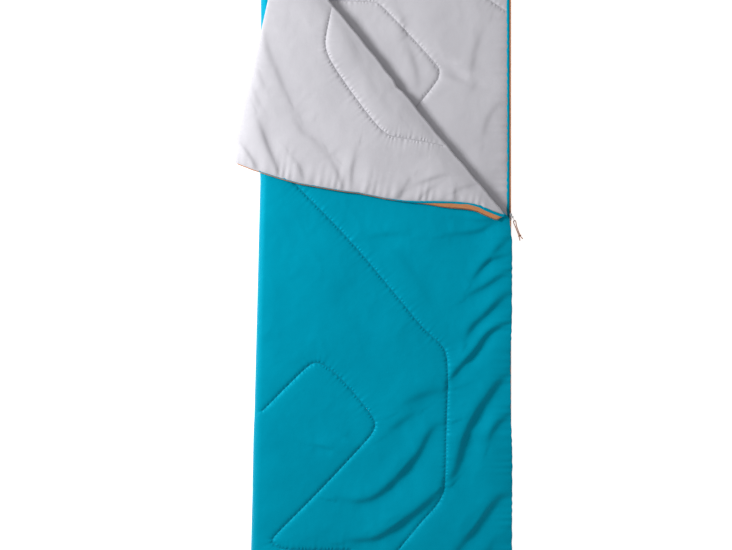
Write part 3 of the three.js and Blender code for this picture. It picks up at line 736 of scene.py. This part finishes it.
def tape_material():
    """Herringbone-woven tape: ribs along it, crossed by fine wefts."""
    material, add, shader, tree = shade("zip_tape_weave", 0.75, Sheen_Weight=0.15)
    cut = add("TexCoord").outputs["UV"]
    place = add("TexCoord").outputs["Object"]
    ribs = add("TexWave", {"bands_direction": "Y"}, Vector=cut, Scale=450.0)
    wefts = add("TexWave", {"bands_direction": "X"}, Vector=cut, Scale=600.0)
    weave = add("Math", {"operation": "MAXIMUM"}, _0=ribs.outputs["Fac"], _1=wefts.outputs["Fac"])
    dust = add("TexNoise", Vector=place, Scale=30.0, Detail=4.0)
    paint(add, shader, tree, dust.outputs["Fac"], [(0.50, 0.19, 0.065), (0.60, 0.245, 0.09)])
    bump = add("Bump", Height=weave.outputs[0], Distance=0.00012, Strength=0.8)
    tree.links.new(bump.outputs[0], shader.inputs["Normal"])
    return material


def grained_material(name, roughness, colours, tone, relief=None, depth=0.0, cells=False, **constants):
    """A material whose colour follows a noise. Its relief follows another one, or cells, or the same noise.
    tone and relief are the noises' settings."""
    material, add, shader, tree = shade(name, roughness, **constants)
    place = add("TexCoord").outputs["Object"]
    tones = add("TexNoise", Vector=place, **tone).outputs["Fac"]
    paint(add, shader, tree, tones, colours)
    if not depth:
        return material
    heights = tones
    if relief:
        heights = add("TexVoronoi" if cells else "TexNoise", Vector=place, **relief)
        heights = heights.outputs["Distance" if cells else "Fac"]
    bump = add("Bump", Height=heights, Distance=depth)
    tree.links.new(bump.outputs[0], shader.inputs["Normal"])
    if "Metallic" in constants:
        vary_roughness(add, shader, tree, tones, roughness - 0.08, roughness + 0.10)
    return material


THREAD_PITCH = 0.0006
WEAVE_DEPTH = 0.00005
SHELL = cloth_material("shell_taffeta", [(0.0, 0.255, 0.385), (0.0, 0.305, 0.445)], 0.44, 0.0007, 0.0,
                       (0.0, 0.75, 1.0))
LINING = cloth_material("lining_taffeta", [(0.50, 0.49, 0.53), (0.58, 0.57, 0.61)], 0.62, 0.0006, 0.12,
                        (1.0, 1.0, 1.0))
FIBRE = grained_material("batting_fibre", 0.95, [(0.78, 0.77, 0.74), (0.92, 0.91, 0.89)],
                         {"Scale": 260.0, "Detail": 6.0, "Distortion": 1.8}, depth=0.001, Sheen_Weight=0.3)
TAPE = tape_material()
NYLON = grained_material("zip_coil_nylon", 0.42, [(0.42, 0.15, 0.05), (0.53, 0.20, 0.07)], {"Scale": 14.0},
                         {"Scale": 900.0, "Detail": 3.0}, 0.00004, Specular_IOR_Level=0.5)
# die-cast, finely grained and duller in places
METAL = grained_material("zip_metal_cast", 0.32, [(0.55, 0.56, 0.58), (0.74, 0.75, 0.77)],
                         {"Scale": 160.0, "Detail": 3.0}, {"Scale": 1400.0, "Detail": 4.0}, 0.00003,
                         Metallic=1.0)
CORD = grained_material("pull_cord_braid", 0.7, [(0.42, 0.14, 0.045), (0.60, 0.25, 0.10)],
                        {"Scale": 500.0, "Detail": 3.0}, {"Scale": 1100.0}, 0.0003, True, Sheen_Weight=0.2)
TWIST = {"Scale": 2200.0, "Detail": 2.0}
# teal thread, much darker than the shell's teal: the thread's own colour with painted shade of the
# stitching's groove
TEAL_THREAD_AND_GROOVE_SHADE = grained_material("teal_thread_and_groove_shade", 0.6, [(0.0, 0.06, 0.11), (0.0, 0.10, 0.16)], TWIST,
                               depth=0.00005)
# grey thread, far darker than the lining: the thread's own grey with painted shade of the stitching's groove
GREY_THREAD_AND_GROOVE_SHADE = grained_material("grey_thread_and_groove_shade", 0.6, [(0.12, 0.12, 0.14), (0.20, 0.20, 0.22)], TWIST,
                               depth=0.00005)
FLOOR = grained_material("studio_floor", 0.9, [(0.90, 0.90, 0.90), (0.93, 0.93, 0.93)], {"Scale": 2.0},
                         Specular_IOR_Level=0.1, Emission_Strength=0.72, Emission_Color=(1, 1, 1, 1))

# ---------------------------------------------------------------- camera and light


CAMERA_AT = (-0.052, -0.021, 6.0)
CAMERA_SENSOR, CAMERA_LENS = 36, 102  # in millimetres
KEY_AT = (-2.5, 1.07, 1.75)
KEY_SIZE, KEY_POWER = 0.95, 104
SKY_STRENGTH = 0.43


def studio():
    """A camera straight above, a soft key from the head's left and an even sky."""
    scene = bpy.context.scene
    camera = bpy.data.objects.new("camera", bpy.data.cameras.new("camera"))
    camera.data.sensor_width, camera.data.lens = CAMERA_SENSOR, CAMERA_LENS
    camera.location = CAMERA_AT
    scene.collection.objects.link(camera)
    scene.camera = camera
    light = bpy.data.lights.new("key", "AREA")
    light.shape, light.size, light.energy = "DISK", KEY_SIZE, KEY_POWER
    key = bpy.data.objects.new("key", light)
    key.location = KEY_AT
    key.rotation_euler = (-key.location).to_track_quat("-Z", "Y").to_euler()
    scene.collection.objects.link(key)
    world = bpy.data.worlds.new("studio")
    world.use_nodes = True
    sky = world.node_tree.nodes["Background"].inputs
    sky["Color"].default_value, sky["Strength"].default_value = (1, 1, 1, 1), SKY_STRENGTH
    scene.world = world
    scene.view_settings.view_transform = "Standard"
    bpy.ops.mesh.primitive_plane_add(size=30, location=(0, 0, -0.0006))
    floor = bpy.context.object
    floor.name = "floor"
    floor.data.materials.append(FLOOR)


studio()

# ---------------------------------------------------------------- pull cord

PULL_PIN = np.array(JOINTS["pull_swing"]["pos_m"])
PULL_HEADING = math.radians(-68.8)
TAB_EYE = 0.0115
CORD_RADIUS = 0.0013
KNOT_AT = 0.046
KNOT_HEIGHT = 0.0052
# [past the eye, across, height] along the pull, as the CAD's cord lies
STRAND_A = [(0, .0004, .0205), (0, .0015, .0205), (.0014, .0030, .0199), (.006, .0032, .0154),
            (.013, .0023, .0074), (.021, .0018, .0025), (.030, .0017, .0015), (.039, .0017, .0017),
            (.046, .0017, .0032), (.052, .0030, .0018), (.058, .0056, .0015)]
STRAND_B = [(s, -q, z) for s, q, z in STRAND_A[:9]] + [(.052, -.0026, .0018), (.060, -.0042, .0015)]


def along_pull(past_eye, across, height):
    way = np.array([math.cos(PULL_HEADING), math.sin(PULL_HEADING)])
    left = np.array([-way[1], way[0]])
    place = PULL_PIN[:2] + way * (TAB_EYE + past_eye) + left * across
    return (place[0], place[1], height)


def add_strand(name, points):
    curve = bpy.data.curves.new(name, "CURVE")
    curve.dimensions, curve.use_fill_caps = "3D", True
    curve.bevel_depth, curve.bevel_resolution = CORD_RADIUS, 4
    line = curve_through([along_pull(*p) for p in points], 0.0012)
    spline = curve.splines.new("POLY")
    spline.points.add(len(line) - 1)
    spline.points.foreach_set("co", np.column_stack([line, np.ones(len(line))]).ravel())
    spline.use_smooth = True
    curve.materials.append(CORD)
    strand = bpy.data.objects.new(name, curve)
    bpy.context.scene.collection.objects.link(strand)
    length = float(np.linalg.norm(np.diff(line, axis=0), axis=1).sum())
    return strand, tuple(float(c) for c in line[0]), length


def add_knot():
    """An overhand knot: a trefoil of cord, pulled tight round both strands."""
    rings = []
    turns, sides, wire = 72, 10, 0.0014
    size = np.array([0.0013, 0.00125, 0.0010])

    def trefoil(t):
        across, up = math.sin(t) + 2 * math.sin(2 * t), math.cos(t) - 2 * math.cos(2 * t)
        return np.array([across, up, -math.sin(3 * t)])

    for i in range(turns):
        t = 2 * math.pi * i / turns
        centre, ahead = trefoil(t) * size, trefoil(t + 0.02) * size
        way = (ahead - centre) / np.linalg.norm(ahead - centre)
        side = np.cross(way, (0, 0, 1.0))
        side /= np.linalg.norm(side)
        up = np.cross(side, way)
        for j in range(sides):
            angle = 2 * math.pi * j / sides
            rings.append(centre + wire * (math.cos(angle) * side + math.sin(angle) * up))
    faces = []
    for i in range(turns):
        for j in range(sides):
            a, b = i * sides + j, i * sides + (j + 1) % sides
            c, d = ((i + 1) % turns) * sides + (j + 1) % sides, ((i + 1) % turns) * sides + j
            faces.append([a, b, c, d])
    across, up, ahead = np.array(rings).T
    cos, sin = math.cos(PULL_HEADING), math.sin(PULL_HEADING)
    turned = np.column_stack([ahead * cos - across * sin, ahead * sin + across * cos, up])
    return add_piece("cord_knot", along_pull(KNOT_AT, 0, KNOT_HEIGHT) + turned, faces, CORD)


strand_a, exit_a, length_a = add_strand("cord_strand_a", STRAND_A)
strand_b, exit_b, length_b = add_strand("cord_strand_b", STRAND_B)
knot = add_knot()
settle(strand_a, "pull", "pull_cord", "pull_cord_a")
settle(strand_b, "pull", "pull_cord", "pull_cord_b")
settle(knot, "pull", "pull_cord", "pull_knot")

# ---------------------------------------------------------------- skins


def wrapped_outline(stop):
    """The cut of the shell or the lining: one width of cloth from zip edge to zip edge, without the corner
    past the crease, counter-clockwise. stop is how far it ends before the crease."""
    back_foot = rounded_corner((FOOT_RADIUS, FOOT_RADIUS - HEAD), FOOT_RADIUS, math.pi, math.pi / 2)
    front_foot = rounded_corner((GIRTH - FOOT_RADIUS, FOOT_RADIUS - HEAD), FOOT_RADIUS, -math.pi / 2,
                                math.pi / 2)
    # where the line that runs beside the crease meets the zip edge and the head
    foot_y = SLIDER_Y - stop / CREASE_NORMAL[1]
    head_x = RIGHT - (HEAD - foot_y) * CREASE_NORMAL[1] / CREASE_NORMAL[0]
    return back_foot + front_foot + [(GIRTH, foot_y), (GIRTH - RIGHT + head_x, HEAD), (0, HEAD)]


def wrapped_columns(back_step, front_step):
    back = grid_lines(0, FLAT, back_step, True, False)
    wrap = [FLAT + WRAP * i / 16 for i in range(1, 16)]
    front = grid_lines(FLAT + WRAP, GIRTH, front_step, False, True)
    return back + wrap + front


def part_of(cut, faces, low, high):
    """The points and faces of a cut that lie between two places across it."""
    kept = [face for face in faces if low <= np.mean(cut[face, 0]) < high]
    used = sorted({i for face in kept for i in face})
    number = {old: new for new, old in enumerate(used)}
    return used, [[number[i] for i in face] for face in kept]


def add_shell():
    """The shell in four: the back, the two halves of the left side and the front."""
    rows = grid_lines(-HEAD, HEAD, FRONT_GRID, True, True)
    lines = [smooth_line(line) + (GIRTH - RIGHT, 0) for line in FRONT_STITCHES]
    cut, faces = flat_cut(wrapped_outline(SHELL_STOP), wrapped_columns(BACK_GRID, FRONT_GRID), rows, lines)
    points = shell_points(cut[:, 0], cut[:, 1])
    parts = []
    for name, low, high, body, node in (
        ("back_shell_cloth", 0, FLAT, "back", "back_shell"),
        ("left_shell_low", FLAT, GIRTH / 2, "back", "back_left_fold"),
        ("left_shell_high", GIRTH / 2, FLAT + WRAP, "front", "front_left_fold"),
        ("front_shell_cloth", FLAT + WRAP, GIRTH, "front", "front_shell"),
    ):
        used, own = part_of(cut, faces, low, high)
        piece = add_piece(name, points[used], own, SHELL, cut[used])
        parts.append(settle(piece, body, "shell_cloth", node))
    # the two halves of the left side get meshes of their own; low and high are not used
    low, high = (LEFT_X, 0, FLATTENED_AT), (LEFT_X, 0, FRONT_TOP - FLATTENED_AT)
    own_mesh(parts[1])
    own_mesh(parts[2])
    return parts


def flap_outline(stop):
    foot_y = SLIDER_Y + stop / CREASE_NORMAL[1]
    head_x = RIGHT - (HEAD - foot_y) * CREASE_NORMAL[1] / CREASE_NORMAL[0]
    return [(RIGHT, foot_y), (RIGHT, HEAD), (head_x, HEAD)]


def add_lining():
    rows = grid_lines(-HEAD, HEAD, LINING_ROWS, True, True)
    lines = [smooth_line(line) * (-1, 1) + (RIGHT, 0) for line in BACK_STITCHES]
    cut, faces = flat_cut(wrapped_outline(ROLL_AT), wrapped_columns(LINING_GRID, INNER_GRID), rows, lines)
    piece = add_piece("inner_lining", lining_points(cut[:, 0], cut[:, 1]), flipped(faces), LINING, cut)
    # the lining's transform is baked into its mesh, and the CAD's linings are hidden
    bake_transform(piece)
    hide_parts("back_lining", "front_lining")
    return piece


def border_along(cut, stop):
    """The points of a cut on the line that runs beside the crease, from the zip side to the head."""
    along, off = crease_coordinates(cut[:, 0], cut[:, 1])
    return [i for i in np.argsort(along) if abs(off[i]) < stop + 1e-5]


def rows_of(rows, count):
    """Faces between rows of count points."""
    return [[r * count + i, r * count + i + 1, (r + 1) * count + i + 1, (r + 1) * count + i]
            for r in range(rows - 1) for i in range(count - 1)]


def add_flap_lining():
    columns = grid_lines(FLAP_LOW_X, RIGHT, FLAP_GRID, False, True)
    rows = grid_lines(SLIDER_Y, HEAD, FLAP_GRID, False, True)
    lines = [np.column_stack(folded_xy(*smooth_line(line).T)) for line in FLAP_STITCHES]
    cut, faces = flat_cut(flap_outline(ROLL_AT), columns, rows, lines)
    points = flap_lining_points(cut[:, 0], cut[:, 1])
    piece = add_piece("flap_lining_cloth", points, flipped(faces), LINING, cut)
    settle(piece, "flap", "lining_cloth", "flap_lining")
    border = border_along(cut, ROLL_AT)
    return piece, add_crease_roll(points[border], cut[border])


def add_crease_roll(top, cut):
    """The lining where it turns over the crease, from the flap's down to the front's."""
    steps = 10
    low_z = FRONT_TOP - 2 * HALF_LOFT * CREASE_SQUEEZE_FRONT
    points, cuts = [], []
    for step in range(steps + 1):
        turn = math.pi * step / steps
        row = top.copy()
        row[:, :2] += ROLL_DEPTH * math.sin(turn) * CREASE_NORMAL
        row[:, 2] = (top[:, 2] + low_z) / 2 + (top[:, 2] - low_z) / 2 * math.cos(turn)
        points.append(row)
        cuts.append(cut - CREASE_NORMAL * 0.003 * step)
    faces = flipped(rows_of(steps + 1, len(top)))
    piece = add_piece("crease_roll", np.concatenate(points), faces, LINING, np.concatenate(cuts))
    settle(piece, "front", "lining_cloth")
    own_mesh(piece)
    return piece


def add_crease_shell():
    """A tuck of shell inside the crease."""
    steps, gap = 8, 0.0006
    foot, head = CREASE_FOOT, CREASE_FOOT + CREASE_ALONG * (HEAD - SLIDER_Y) / CREASE_ALONG[1]
    share = np.linspace(0.012, 0.985, 240)[:, None]
    line = foot + (head - foot) * share - CREASE_NORMAL * SHELL_STOP
    along, off = crease_coordinates(line[:, 0], line[:, 1])
    off = pulled_from_crease(along, off)
    line = foot + along[:, None] * CREASE_ALONG + off[:, None] * CREASE_NORMAL
    heights = FRONT_TOP + gap * np.arange(steps + 1) / steps
    points = np.concatenate([np.column_stack([line, np.full(len(line), z)]) for z in heights])
    cut = np.concatenate([np.column_stack([along, np.full(len(line), 0.003 * i)]) for i in range(steps + 1)])
    piece = add_piece("crease_shell", points, rows_of(steps + 1, len(line)), SHELL, cut)
    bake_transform(piece)
    return piece


def add_flap_shell():
    columns = grid_lines(FLAP_LOW_X, RIGHT, FLAP_UNDER_GRID, False, True)
    rows = grid_lines(SLIDER_Y, HEAD, FLAP_UNDER_GRID, False, True)
    cut, faces = flat_cut(flap_outline(SHELL_STOP), columns, rows)
    piece = add_piece("flap_shell_cloth", flap_shell_points(cut[:, 0], cut[:, 1]), faces, SHELL, cut)
    return settle(piece, "flap", "shell_cloth", "flap_shell")


back_shell, left_low, left_high, front_shell = add_shell()
lining = add_lining()
flap_lining, crease_roll = add_flap_lining()
flap_shell = add_flap_shell()
crease_shell = add_crease_shell()

# ---------------------------------------------------------------- batting


def add_batting(name, columns, rows, corners, place, body, node):
    """A closed pad. place gives its upper and lower faces' points from places on the cut."""
    cut, faces = flat_cut(corners, columns, rows)
    upper, lower = place(cut[:, 0], cut[:, 1])
    count = len(cut)
    sides = {(a, b) for face in faces for a, b in zip(face, face[1:] + face[:1])}
    rim = [[b, a, a + count, b + count] for a, b in sorted(sides) if (b, a) not in sides]
    under = [[i + count for i in face[::-1]] for face in faces]
    piece = add_piece(name, np.concatenate([upper, lower]), faces + under + rim, FIBRE)
    settle(piece, body, "batting", node)


BATTING_INSET = 0.009
BATTING_GAP = 0.0036
BATTING_STOP = 0.020  # how far a pad ends before the crease
BATTING_LEFT = 0.022  # and how far in from where the left side starts to turn


def pad_between(upper, lower):
    """Two faces, each a gap inside its skin, and never crossed."""
    middle = (upper[..., 2] + lower[..., 2]) / 2
    half = np.maximum((upper[..., 2] - lower[..., 2]) / 2 - BATTING_GAP, 0.0004)
    upper, lower = upper.copy(), lower.copy()
    lower[..., :2] = upper[..., :2]
    upper[..., 2], lower[..., 2] = middle + half, middle - half
    return upper, lower


def add_battings():
    low, high = BATTING_INSET - HEAD, HEAD - BATTING_INSET
    rows = grid_lines(low, high, PAD_GRID, False, False)
    left, side = LEFT_X + BATTING_LEFT, RIGHT - BATTING_INSET
    columns = grid_lines(left, side, PAD_GRID, False, False)

    def in_back(x, y):
        return pad_between(lining_points(*back_cut(x, y)), shell_points(*back_cut(x, y)))

    def in_front(x, y):
        return pad_between(shell_points(*front_cut(x, y)), lining_points(*front_cut(x, y)))

    back = [(left, low)] + rounded_corner((RIGHT - FOOT_RADIUS, FOOT_RADIUS - HEAD),
                                            FOOT_RADIUS - BATTING_INSET, -math.pi / 2, math.pi / 2)
    corners = back + [(side, high), (left, high)]
    add_batting("back_pad", columns, rows, corners, in_back, "back", "back_batting")

    def beside_crease(off):
        """Where a line beside the crease meets the pad's zip side and its head."""
        foot_y = SLIDER_Y + (off + BATTING_INSET * CREASE_NORMAL[0]) / CREASE_NORMAL[1]
        return (side, foot_y), (side - (high - foot_y) * CREASE_NORMAL[1] / CREASE_NORMAL[0], high)

    front = back + [*beside_crease(-BATTING_STOP), (left, high)]
    add_batting("front_pad", columns, rows, front, in_front, "front", "front_batting")

    def in_flap(x, y):
        return pad_between(flap_lining_points(x, y), flap_shell_points(x, y))

    zip_end, head_end = beside_crease(BATTING_STOP)
    add_batting("flap_pad", columns, rows, [zip_end, (side, high), head_end], in_flap, "flap", "flap_batting")


add_battings()

# ---------------------------------------------------------------- quilting thread

STITCH = 0.0036  # from one stitch to the next
HALF_STITCH = 0.0015
HALF_BEAD = 0.0008
STITCH_RISE = 0.0002
THREAD = 0.0004


def stitches(on, up):
    """A row of stitches between points: a small bead of thread for each, sunk at both ends."""
    points, faces = [], []
    for a, b in zip(on[:-1], on[1:]):
        way = (b - a) / np.linalg.norm(b - a)
        side = np.cross(way, up)
        side /= np.linalg.norm(side)
        rise = np.cross(side, way)
        middle = (a + b) / 2 + rise * STITCH_RISE
        first = len(points)
        points += [middle + way * reach - rise * THREAD for reach in (-HALF_STITCH, HALF_STITCH)]
        for reach in (-HALF_BEAD, HALF_BEAD):
            points += [middle + way * reach + out * THREAD for out in (side, rise, -side, -rise)]
        for i in range(4):
            j = (i + 1) % 4
            faces += [[first, first + 2 + i, first + 2 + j], [first + 1, first + 6 + j, first + 6 + i],
                      [first + 2 + i, first + 6 + i, first + 6 + j, first + 2 + j]]
    return points, faces


def add_stitches(name, body, skin, on_cut, lines, material, slot, up=1):
    """Rows of stitches on a skin. on_cut gives the place on its cut of a place as it lies."""
    points, faces = [], []
    for corners in lines:
        line = curve_through([(*p, 0) for p in smooth_line(corners)], STITCH)
        new, over = stitches(skin(*on_cut(line[:, 0], line[:, 1])), (0, 0, up))
        faces += [[i + len(points) for i in face] for face in over]
        points += new
    settle(add_piece(name, points, faces, material), body, slot)


TEAL, GREY = (TEAL_THREAD_AND_GROOVE_SHADE, "shell_cloth"), (GREY_THREAD_AND_GROOVE_SHADE, "lining_cloth")
add_stitches("front_quilting", "front", shell_points, front_cut, FRONT_STITCHES, *TEAL)
add_stitches("back_quilting", "back", lining_points, back_cut, BACK_STITCHES, *GREY)
add_stitches("flap_quilting", "flap", flap_lining_points, folded_xy, FLAP_STITCHES, *GREY)
add_stitches("front_inner_quilting", "front", lining_points, front_cut, FRONT_STITCHES, *GREY, -1)
add_stitches("flap_outer_quilting", "flap", flap_shell_points, folded_xy, FLAP_STITCHES, *TEAL, -1)

# ---------------------------------------------------------------- zip

TAPE_THICK = 0.0006
COIL_PITCH = 0.0016
COIL_STEPS = 6
WIRE = 0.00036
# across the tape, in metres out from the sewn edge and up from the quilt's middle
STANDING_TAPE = [(-0.0035, 0.0), (0.0006, 0.0001), (0.0021, 0.0014), (0.0042, 0.0041), (0.0055, 0.0068),
                 (0.0056, 0.0086)]
STANDING_COIL = (0.0055, 0.01005)
COIL_RADII = (0.00112, 0.00073)
SPREAD_TAPE = [(-0.0035, 0.0), (0.0015, 0.0), (0.0050, -0.0003), (0.0100, -0.0008), (0.0150, -0.0014),
               (0.0162, -0.0016)]
SPREAD_COIL = (0.0177, -0.0014)
CURLED_TAPE = [(-0.0035, 0.0), (0.0012, -0.0004), (0.0024, -0.0020), (0.0016, -0.0040), (-0.0040, -0.0056),
               (-0.0080, -0.0062)]
CURLED_COIL = (-0.0096, -0.0066)
# where along the flap's edge, from the slider, its zip is spread out
SPREAD_FROM = 0.006
SPREAD_TO = 0.36
STOP_LENGTH = 0.006


def ribbon(centres, thickness):
    """A ribbon's points and faces from its middle line at each station, and its cut for the weave."""
    across = np.gradient(centres, axis=1)
    along = np.gradient(centres, axis=0)
    normal = np.cross(along, across)
    normal /= np.linalg.norm(normal, axis=2, keepdims=True)
    top, bottom = centres + normal * thickness / 2, centres - normal * thickness / 2
    rings = np.concatenate([top, bottom[:, ::-1]], axis=1)
    lengths = np.concatenate([[0], np.cumsum(np.linalg.norm(np.diff(centres[:, 0], axis=0), axis=1))])
    widths = np.concatenate([[0], np.cumsum(np.linalg.norm(np.diff(centres[0], axis=0), axis=1))])
    widths = np.concatenate([widths, widths[::-1]])
    cut = np.stack(np.broadcast_arrays(lengths[:, None], widths[None, :]), axis=-1)
    return rings.reshape(-1, 3), lofted(rings), cut.reshape(-1, 2)


def helix(centres, out, phase=0.0):
    """A coil of wire round a row of centres, six to a turn. out are the ways out from the sewn edge."""
    along = np.gradient(centres, axis=0)
    along /= np.linalg.norm(along, axis=1, keepdims=True)
    angle = 2 * math.pi * np.arange(len(centres)) / COIL_STEPS + phase
    line = centres.copy()
    line[:, :2] += out * (COIL_RADII[0] * np.cos(angle))[:, None]
    line[:, 2] += COIL_RADII[1] * np.sin(angle)
    way = np.gradient(line, axis=0)
    side = np.cross(way, along)
    side /= np.linalg.norm(side, axis=1, keepdims=True)
    over = np.cross(way, side)
    over /= np.linalg.norm(over, axis=1, keepdims=True)
    rings = np.stack([line + side * WIRE, line + over * WIRE, line - side * WIRE, line - over * WIRE], axis=1)
    return rings.reshape(-1, 3), lofted(rings)


def zip_stations(from_y, to_x, step):
    """Places on the sewn edge from a height on the zip side round the foot's corner, and the ways out."""
    straight, arc = from_y - (FOOT_RADIUS - HEAD), FOOT_RADIUS * math.pi / 2
    total = straight + arc + RIGHT - FOOT_RADIUS - to_x
    gone = np.linspace(0, total, int(total / step) + 1)
    turn = np.clip((gone - straight) / FOOT_RADIUS, 0, math.pi / 2)
    out = np.stack([np.cos(turn), -np.sin(turn)], axis=1)
    base = np.array([RIGHT - FOOT_RADIUS, FOOT_RADIUS - HEAD]) + FOOT_RADIUS * out
    base[:, 1] += np.maximum(straight - gone, 0)
    base[:, 0] -= np.maximum(gone - straight - arc, 0)
    return base, out, gone


def standing(base, out, reach, height):
    """Points out from the sewn edge, at a height: one for each station and each of the given reaches."""
    flat = base[:, None, :] + out[:, None, :] * np.asarray(reach)[None, :, None]
    up = np.broadcast_to(np.asarray(height)[None, :, None], flat.shape[:2] + (1,))
    return np.concatenate([flat, up], axis=2)


def add_half_zip(side, mid, rise, from_y, phase):
    """The tape and coil on one layer. rise is 1 for the back, whose tape stands up, and -1 for the front."""
    base, out, gone = zip_stations(min(from_y, TAPE_HEAD_Y), TAPE_FOOT_X, 0.004)
    reach, height = np.array(STANDING_TAPE).T
    centres = standing(base, out, reach, mid + rise * height)
    sway = 0.00022 * np.sin(gone / 0.021) + 0.00015 * np.sin(gone / 0.0077)
    centres[:, 1:4, 2] += rise * sway[:, None] - rise * 0.0001
    points, faces, cut = ribbon(centres, TAPE_THICK)
    tape = add_piece(side + "_tape", points, faces, TAPE, cut)
    base, out, _ = zip_stations(min(from_y, COIL_HEAD_Y), COIL_FOOT_X, COIL_PITCH / COIL_STEPS)
    centres = standing(base, out, [STANDING_COIL[0]], [mid + rise * STANDING_COIL[1]])[:, 0]
    coil = add_piece(side + "_coil", *helix(centres, out, phase), NYLON)
    settle(tape, side, "zip_tape", side + "_zip_tape")
    settle(coil, side, "zip_coil", side + "_zip_coil")


def flap_edge(y, reach, height):
    """Points beside the folded corner's zip edge. reach is out from it, and height over its middle."""
    place = lay_flap(np.full(np.shape(y), RIGHT), y, np.full(np.shape(y), FOLDED_MID))
    ahead = lay_flap(np.full(np.shape(y), RIGHT), y + 0.001, np.full(np.shape(y), FOLDED_MID))
    way = ahead - place
    out = np.stack([-way[..., 1], way[..., 0]], axis=-1)
    out /= np.linalg.norm(out, axis=-1, keepdims=True)
    points = place[:, None, :].repeat(reach.shape[1], axis=1)
    points[..., :2] += out[:, None, :] * reach[..., None]
    points[..., 2] += height
    return points, out


def opened(y):
    """How far the flap's tape is spread out, from 0 where it curls under the edge to 1."""
    gone = y - SLIDER_Y
    return np.clip((gone - SPREAD_FROM) / 0.03, 0, 1) * np.clip((SPREAD_TO - gone) / 0.20, 0, 1)


def shape_between(curled, spread, share):
    """Reaches and heights across the tape or coil at each station, between its two shapes."""
    share = (share * share * (3 - 2 * share))[:, None]
    curled, spread = np.array(curled), np.array(spread)
    mixed = curled[None] * (1 - share[..., None]) + spread[None] * share[..., None]
    return mixed[..., 0], mixed[..., 1]


def add_flap_stop():
    """The top stop crimped over the end of the flap's coil, as a row of rounded rings."""
    y = np.linspace(COIL_HEAD_Y + 0.0003, COIL_HEAD_Y + 0.0003 + STOP_LENGTH, 9)
    centres, out = flap_edge(y, *shape_between([CURLED_COIL], [SPREAD_COIL], opened(y)))
    bulge = np.array([0.55, 0.85, 1, 0.92, 0.86, 0.92, 1, 0.85, 0.55])
    turn = np.linspace(0, 2 * math.pi, 17)[:-1]
    around = np.stack([np.cos(turn), np.sin(turn)], axis=1)
    around = np.sign(around) * np.abs(around) ** 0.6 * (0.0019, 0.0017)
    rings = [[c + np.array([*(o * a * b), u * b]) for a, u in around]
             for c, o, b in zip(centres[:, 0], out, bulge)]
    return add_piece("flap_stop", np.array(rings).reshape(-1, 3), lofted(rings), METAL)


def add_flap_zip():
    y = np.arange(FLAP_ZIP_Y, TAPE_HEAD_Y, 0.003)
    centres, _ = flap_edge(y, *shape_between(CURLED_TAPE, SPREAD_TAPE, opened(y)))
    centres[..., 2] += 0.0005 * np.sin(y / 0.019)[:, None] * opened(y)[:, None]
    points, faces, cut = ribbon(centres, TAPE_THICK)
    tape = add_piece("flap_tape", points, faces, TAPE, cut)
    y = np.arange(FLAP_ZIP_Y, COIL_HEAD_Y, COIL_PITCH / COIL_STEPS)
    centres, out = flap_edge(y, *shape_between([CURLED_COIL], [SPREAD_COIL], opened(y)))
    coil = add_piece("flap_coil", *helix(centres[:, 0], out), NYLON)
    stop = add_flap_stop()
    for piece, slot, node in ((tape, "zip_tape", "flap_zip_tape"), (coil, "zip_coil", "flap_zip_coil"),
                              (stop, "zip_metal", "flap_top_stop")):
        settle(piece, "flap", slot, node)
        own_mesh(piece)


add_half_zip("back", BACK_MID, 1, HEAD, 0.0)
add_half_zip("front", FRONT_MID, -1, SLIDER_LOW.y - 0.001, math.pi / 2)
add_flap_zip()

# ---------------------------------------------------------------- welts

# the shell's hem, which shows beyond the lining on the zip side
WELT = [(-0.0058, 0.0026), (-0.0030, 0.0040), (-0.0002, 0.0040), (0.0014, 0.0042), (0.0020, 0.0034)]
FLAP_WELT = [(-0.0030, 0.0010), (0.0008, 0.0011), (0.0036, 0.0006), (0.0052, -0.0006), (0.0044, -0.0022)]
WELT_THICK = 0.0005
WELT_STOP = 0.070  # how far short of the head the flap's ends


def add_welts():
    base, out, gone = zip_stations(TAPE_HEAD_Y, TAPE_FOOT_X, 0.004)
    reach, height = np.array(WELT).T
    centres = standing(base, out, reach, BACK_MID + height)
    centres[:, 1:3, 2] += (0.00025 * ripple(gone, 0.024))[:, None]
    points, faces, cut = ribbon(centres, WELT_THICK)
    settle(add_piece("back_welt", points, faces, SHELL, cut), "back", "shell_cloth")
    y = np.arange(FLAP_ZIP_Y - 0.006, HEAD - WELT_STOP, 0.003)
    reach, height = (np.tile(v, (len(y), 1)) for v in np.array(FLAP_WELT).T)
    shown = (0.1 + 0.9 * np.clip((SPREAD_TO - y + SLIDER_Y) / 0.10, 0, 1))[:, None]
    reach = np.where(reach > 0, (reach + 0.0006 * ripple(y, 0.05)[:, None]) * shown, reach)
    centres, _ = flap_edge(y, reach, height)
    points, faces, cut = ribbon(centres, WELT_THICK)
    settle(add_piece("flap_welt", points, faces, SHELL, cut), "flap", "shell_cloth")


add_welts()

# ---------------------------------------------------------------- what stays of the CAD


def finish_cad_metal():
    """The slider, its pin, the tab and the stops keep their CAD shapes, with their edges broken."""
    for node in frame["nodes"].values():
        if node.type != "MESH" or node.hide_render:
            continue
        node.data.materials.clear()
        node.data.materials.append(METAL)
        bevel = node.modifiers.new("edges", "BEVEL")
        bevel.width, bevel.segments, bevel.limit_method = 0.00025, 2, "ANGLE"


finish_cad_metal()
